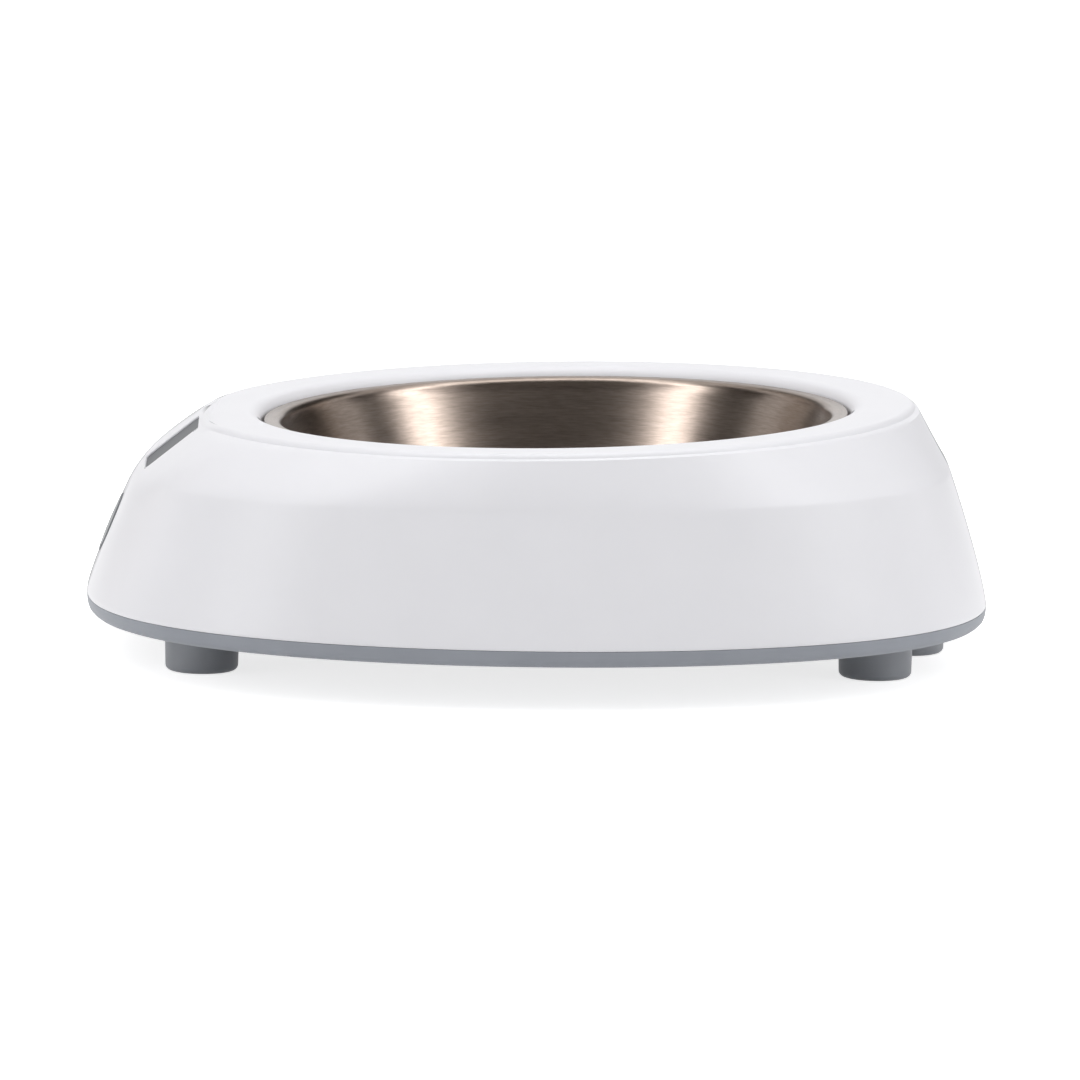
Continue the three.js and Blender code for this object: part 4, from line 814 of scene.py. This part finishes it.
# Lamps as name, place, target, size and power
BODY = (0, 0, 0.04)
LOW_BODY = (0, 0, 0.03)
LAMPS = [
    ("key_left", (-1.53, -0.74, 1.2), BODY, (0.48, 2.4), 19.5),
    ("key_right", (1.61, -0.68, 1.2), BODY, (0.53, 2.4), 20.5),
    ("fill_left", (-2, -1.1, 0.3), LOW_BODY, (1, 0.3), 3),
    ("fill_right", (1.9, -1.3, 0.3), LOW_BODY, (1, 0.3), 2.2),
    ("top", (0, 0.1, 1.9), BODY, (1.6, 1.0), 13),
]

# Camera: angles in radians, distance from the origin, and the target right of and above that
CAMERA_ELEVATION = 0.161
CAMERA_SWING = -0.025
CAMERA_ROLL = 0.0145
CAMERA_DISTANCE = 2.0125
CAMERA_TARGET = (0.00112, 0.02397)
CAMERA_LENS = 300
CAMERA_SENSOR = 36
CAMERA_REACH = 20


def seen_directly(tree):
    """Is 1 for camera, mirror and transmission rays."""
    path = tree.nodes.new("ShaderNodeLightPath")
    direct = maths(tree, "MAXIMUM", path.outputs["Is Camera Ray"], path.outputs["Is Glossy Ray"])
    return maths(tree, "MAXIMUM", direct, path.outputs["Is Transmission Ray"])


def aim(piece, place, target):
    piece.location = place
    direction = Vector(target) - Vector(place)
    piece.rotation_euler = direction.to_track_quat("-Z", "Y").to_euler()


def make_floor():
    floor = rectangle("floor", FLOOR_HALF, FLOOR_HALF)
    floor.location.z = -FLOOR_DROP
    material, tree, shader = nodes_of("floor_white")
    shader.inputs["Base Color"].default_value = (FLOOR_GREY, FLOOR_GREY, FLOOR_GREY, 1)
    shader.inputs["Roughness"].default_value = MATT
    shader.inputs["Specular IOR Level"].default_value = 0.1
    shader.inputs["Emission Color"].default_value = (1, 1, 1, 1)
    glow = maths(tree, "MULTIPLY", seen_directly(tree), FLOOR_GLOW)
    link(tree, glow, shader.inputs["Emission Strength"])
    floor.data.materials.append(material)


def make_card(name, place, target, size, colour):
    """Studio card that the camera doesn't see, for the steel and the gloss to reflect."""
    card = rectangle(name, *(side / 2 / MM for side in size))
    aim(card, place, target)
    material, _, shader = nodes_of(name)
    shader.inputs["Base Color"].default_value = (*colour, 1)
    shader.inputs["Roughness"].default_value = MATT
    card.data.materials.append(material)
    card.visible_camera = False


def make_side_card(name, start, stop, colour):
    """Upright card between two bearings, in degrees from the camera's side towards +X."""
    bearing = math.radians((start + stop) / 2)
    width = 2 * CARD_DISTANCE * math.tan(math.radians((stop - start) / 2))
    place = (CARD_DISTANCE * math.sin(bearing), -CARD_DISTANCE * math.cos(bearing), CARD_MIDDLE)
    make_card(name, place, (0, 0, CARD_MIDDLE), (width, CARD_HEIGHT), colour)


def area_light(name, place, target, size, power):
    data = bpy.data.lights.new(name, "AREA")
    data.shape = "RECTANGLE"
    data.size, data.size_y = size
    data.energy = power
    lamp = bpy.data.objects.new(name, data)
    bpy.context.scene.collection.objects.link(lamp)
    aim(lamp, place, target)


def make_world():
    """White where a ray sees it directly, and dimmer where it only lights the part."""
    world = bpy.data.worlds.new("studio")
    bpy.context.scene.world = world
    world.use_nodes = True
    tree = world.node_tree
    lighting = tree.nodes["Background"]
    seen = tree.nodes.new("ShaderNodeBackground")
    for background, strength in ((lighting, WORLD_STRENGTH), (seen, 1)):
        background.inputs["Color"].default_value = (1, 1, 1, 1)
        background.inputs["Strength"].default_value = strength
    mix = tree.nodes.new("ShaderNodeMixShader")
    link(tree, seen_directly(tree), mix.inputs["Fac"])
    link(tree, lighting.outputs["Background"], mix.inputs[1])
    link(tree, seen.outputs["Background"], mix.inputs[2])
    link(tree, mix.outputs["Shader"], tree.nodes["World Output"].inputs["Surface"])


def make_camera():
    level = math.cos(CAMERA_ELEVATION)
    out = Vector((level * math.sin(CAMERA_SWING), -level * math.cos(CAMERA_SWING),
                  math.sin(CAMERA_ELEVATION)))
    right = Vector((math.cos(CAMERA_SWING), math.sin(CAMERA_SWING), 0))
    up = right.cross(-out)
    turned_right = right * math.cos(CAMERA_ROLL) + up * math.sin(CAMERA_ROLL)
    turned_up = up * math.cos(CAMERA_ROLL) - right * math.sin(CAMERA_ROLL)
    place = out * CAMERA_DISTANCE
    target = turned_right * CAMERA_TARGET[0] + turned_up * CAMERA_TARGET[1]
    back = (place - target).normalized()
    across = turned_up.cross(back).normalized()
    upright = back.cross(across)
    data = bpy.data.cameras.new("camera")
    data.lens = CAMERA_LENS
    data.sensor_width = CAMERA_SENSOR
    data.clip_end = CAMERA_REACH
    camera = bpy.data.objects.new("camera", data)
    rows = [(across[axis], upright[axis], back[axis], place[axis]) for axis in range(3)]
    camera.matrix_world = Matrix((*rows, (0, 0, 0, 1)))
    bpy.context.scene.collection.objects.link(camera)
    bpy.context.scene.camera = camera


# -------------------------------------------------------------------- assembly

materials = make_materials()
for entry in frame["record"]["subparts"]:
    node = frame["nodes"][entry["node"]]
    node.data.materials.clear()
    node.data.materials.append(materials[entry["material_slot"]])
    smooth_by_angle(node, CAD_SHARP_ANGLE)


def dress(piece, body, slot, cad_node):
    smooth_by_angle(piece)
    piece.data.materials.clear()
    piece.data.materials.append(materials[slot])
    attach(piece, body)
    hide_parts(cad_node)


dress(make_housing(), "base", "white_shell", "top_housing")
dress(make_base(), "base", "grey_shell", "base_cover")
for label, foot_place in FEET.items():
    dress(make_foot("rubber_foot_" + label, *foot_place), "base", "foot_rubber", "foot_" + label)
dress(make_bowl(), "bowl", "bowl_steel", "steel_bowl")
dress(make_lens(), "base", "lens_dark", "display_window")
dress(make_ring(), "base", "ring_grey", "button_ring")
dress(make_button(), "button", "button_grey", "button_cap")

make_floor()
make_world()
make_card("front_card", FRONT_CARD_PLACE, BODY, FRONT_CARD_SIZE, DARK_CARD)
for side_card in SIDE_CARDS:
    make_side_card(*side_card)
for lamp in LAMPS:
    area_light(*lamp)
make_camera()
bpy.context.scene.view_settings.view_transform = "Standard"
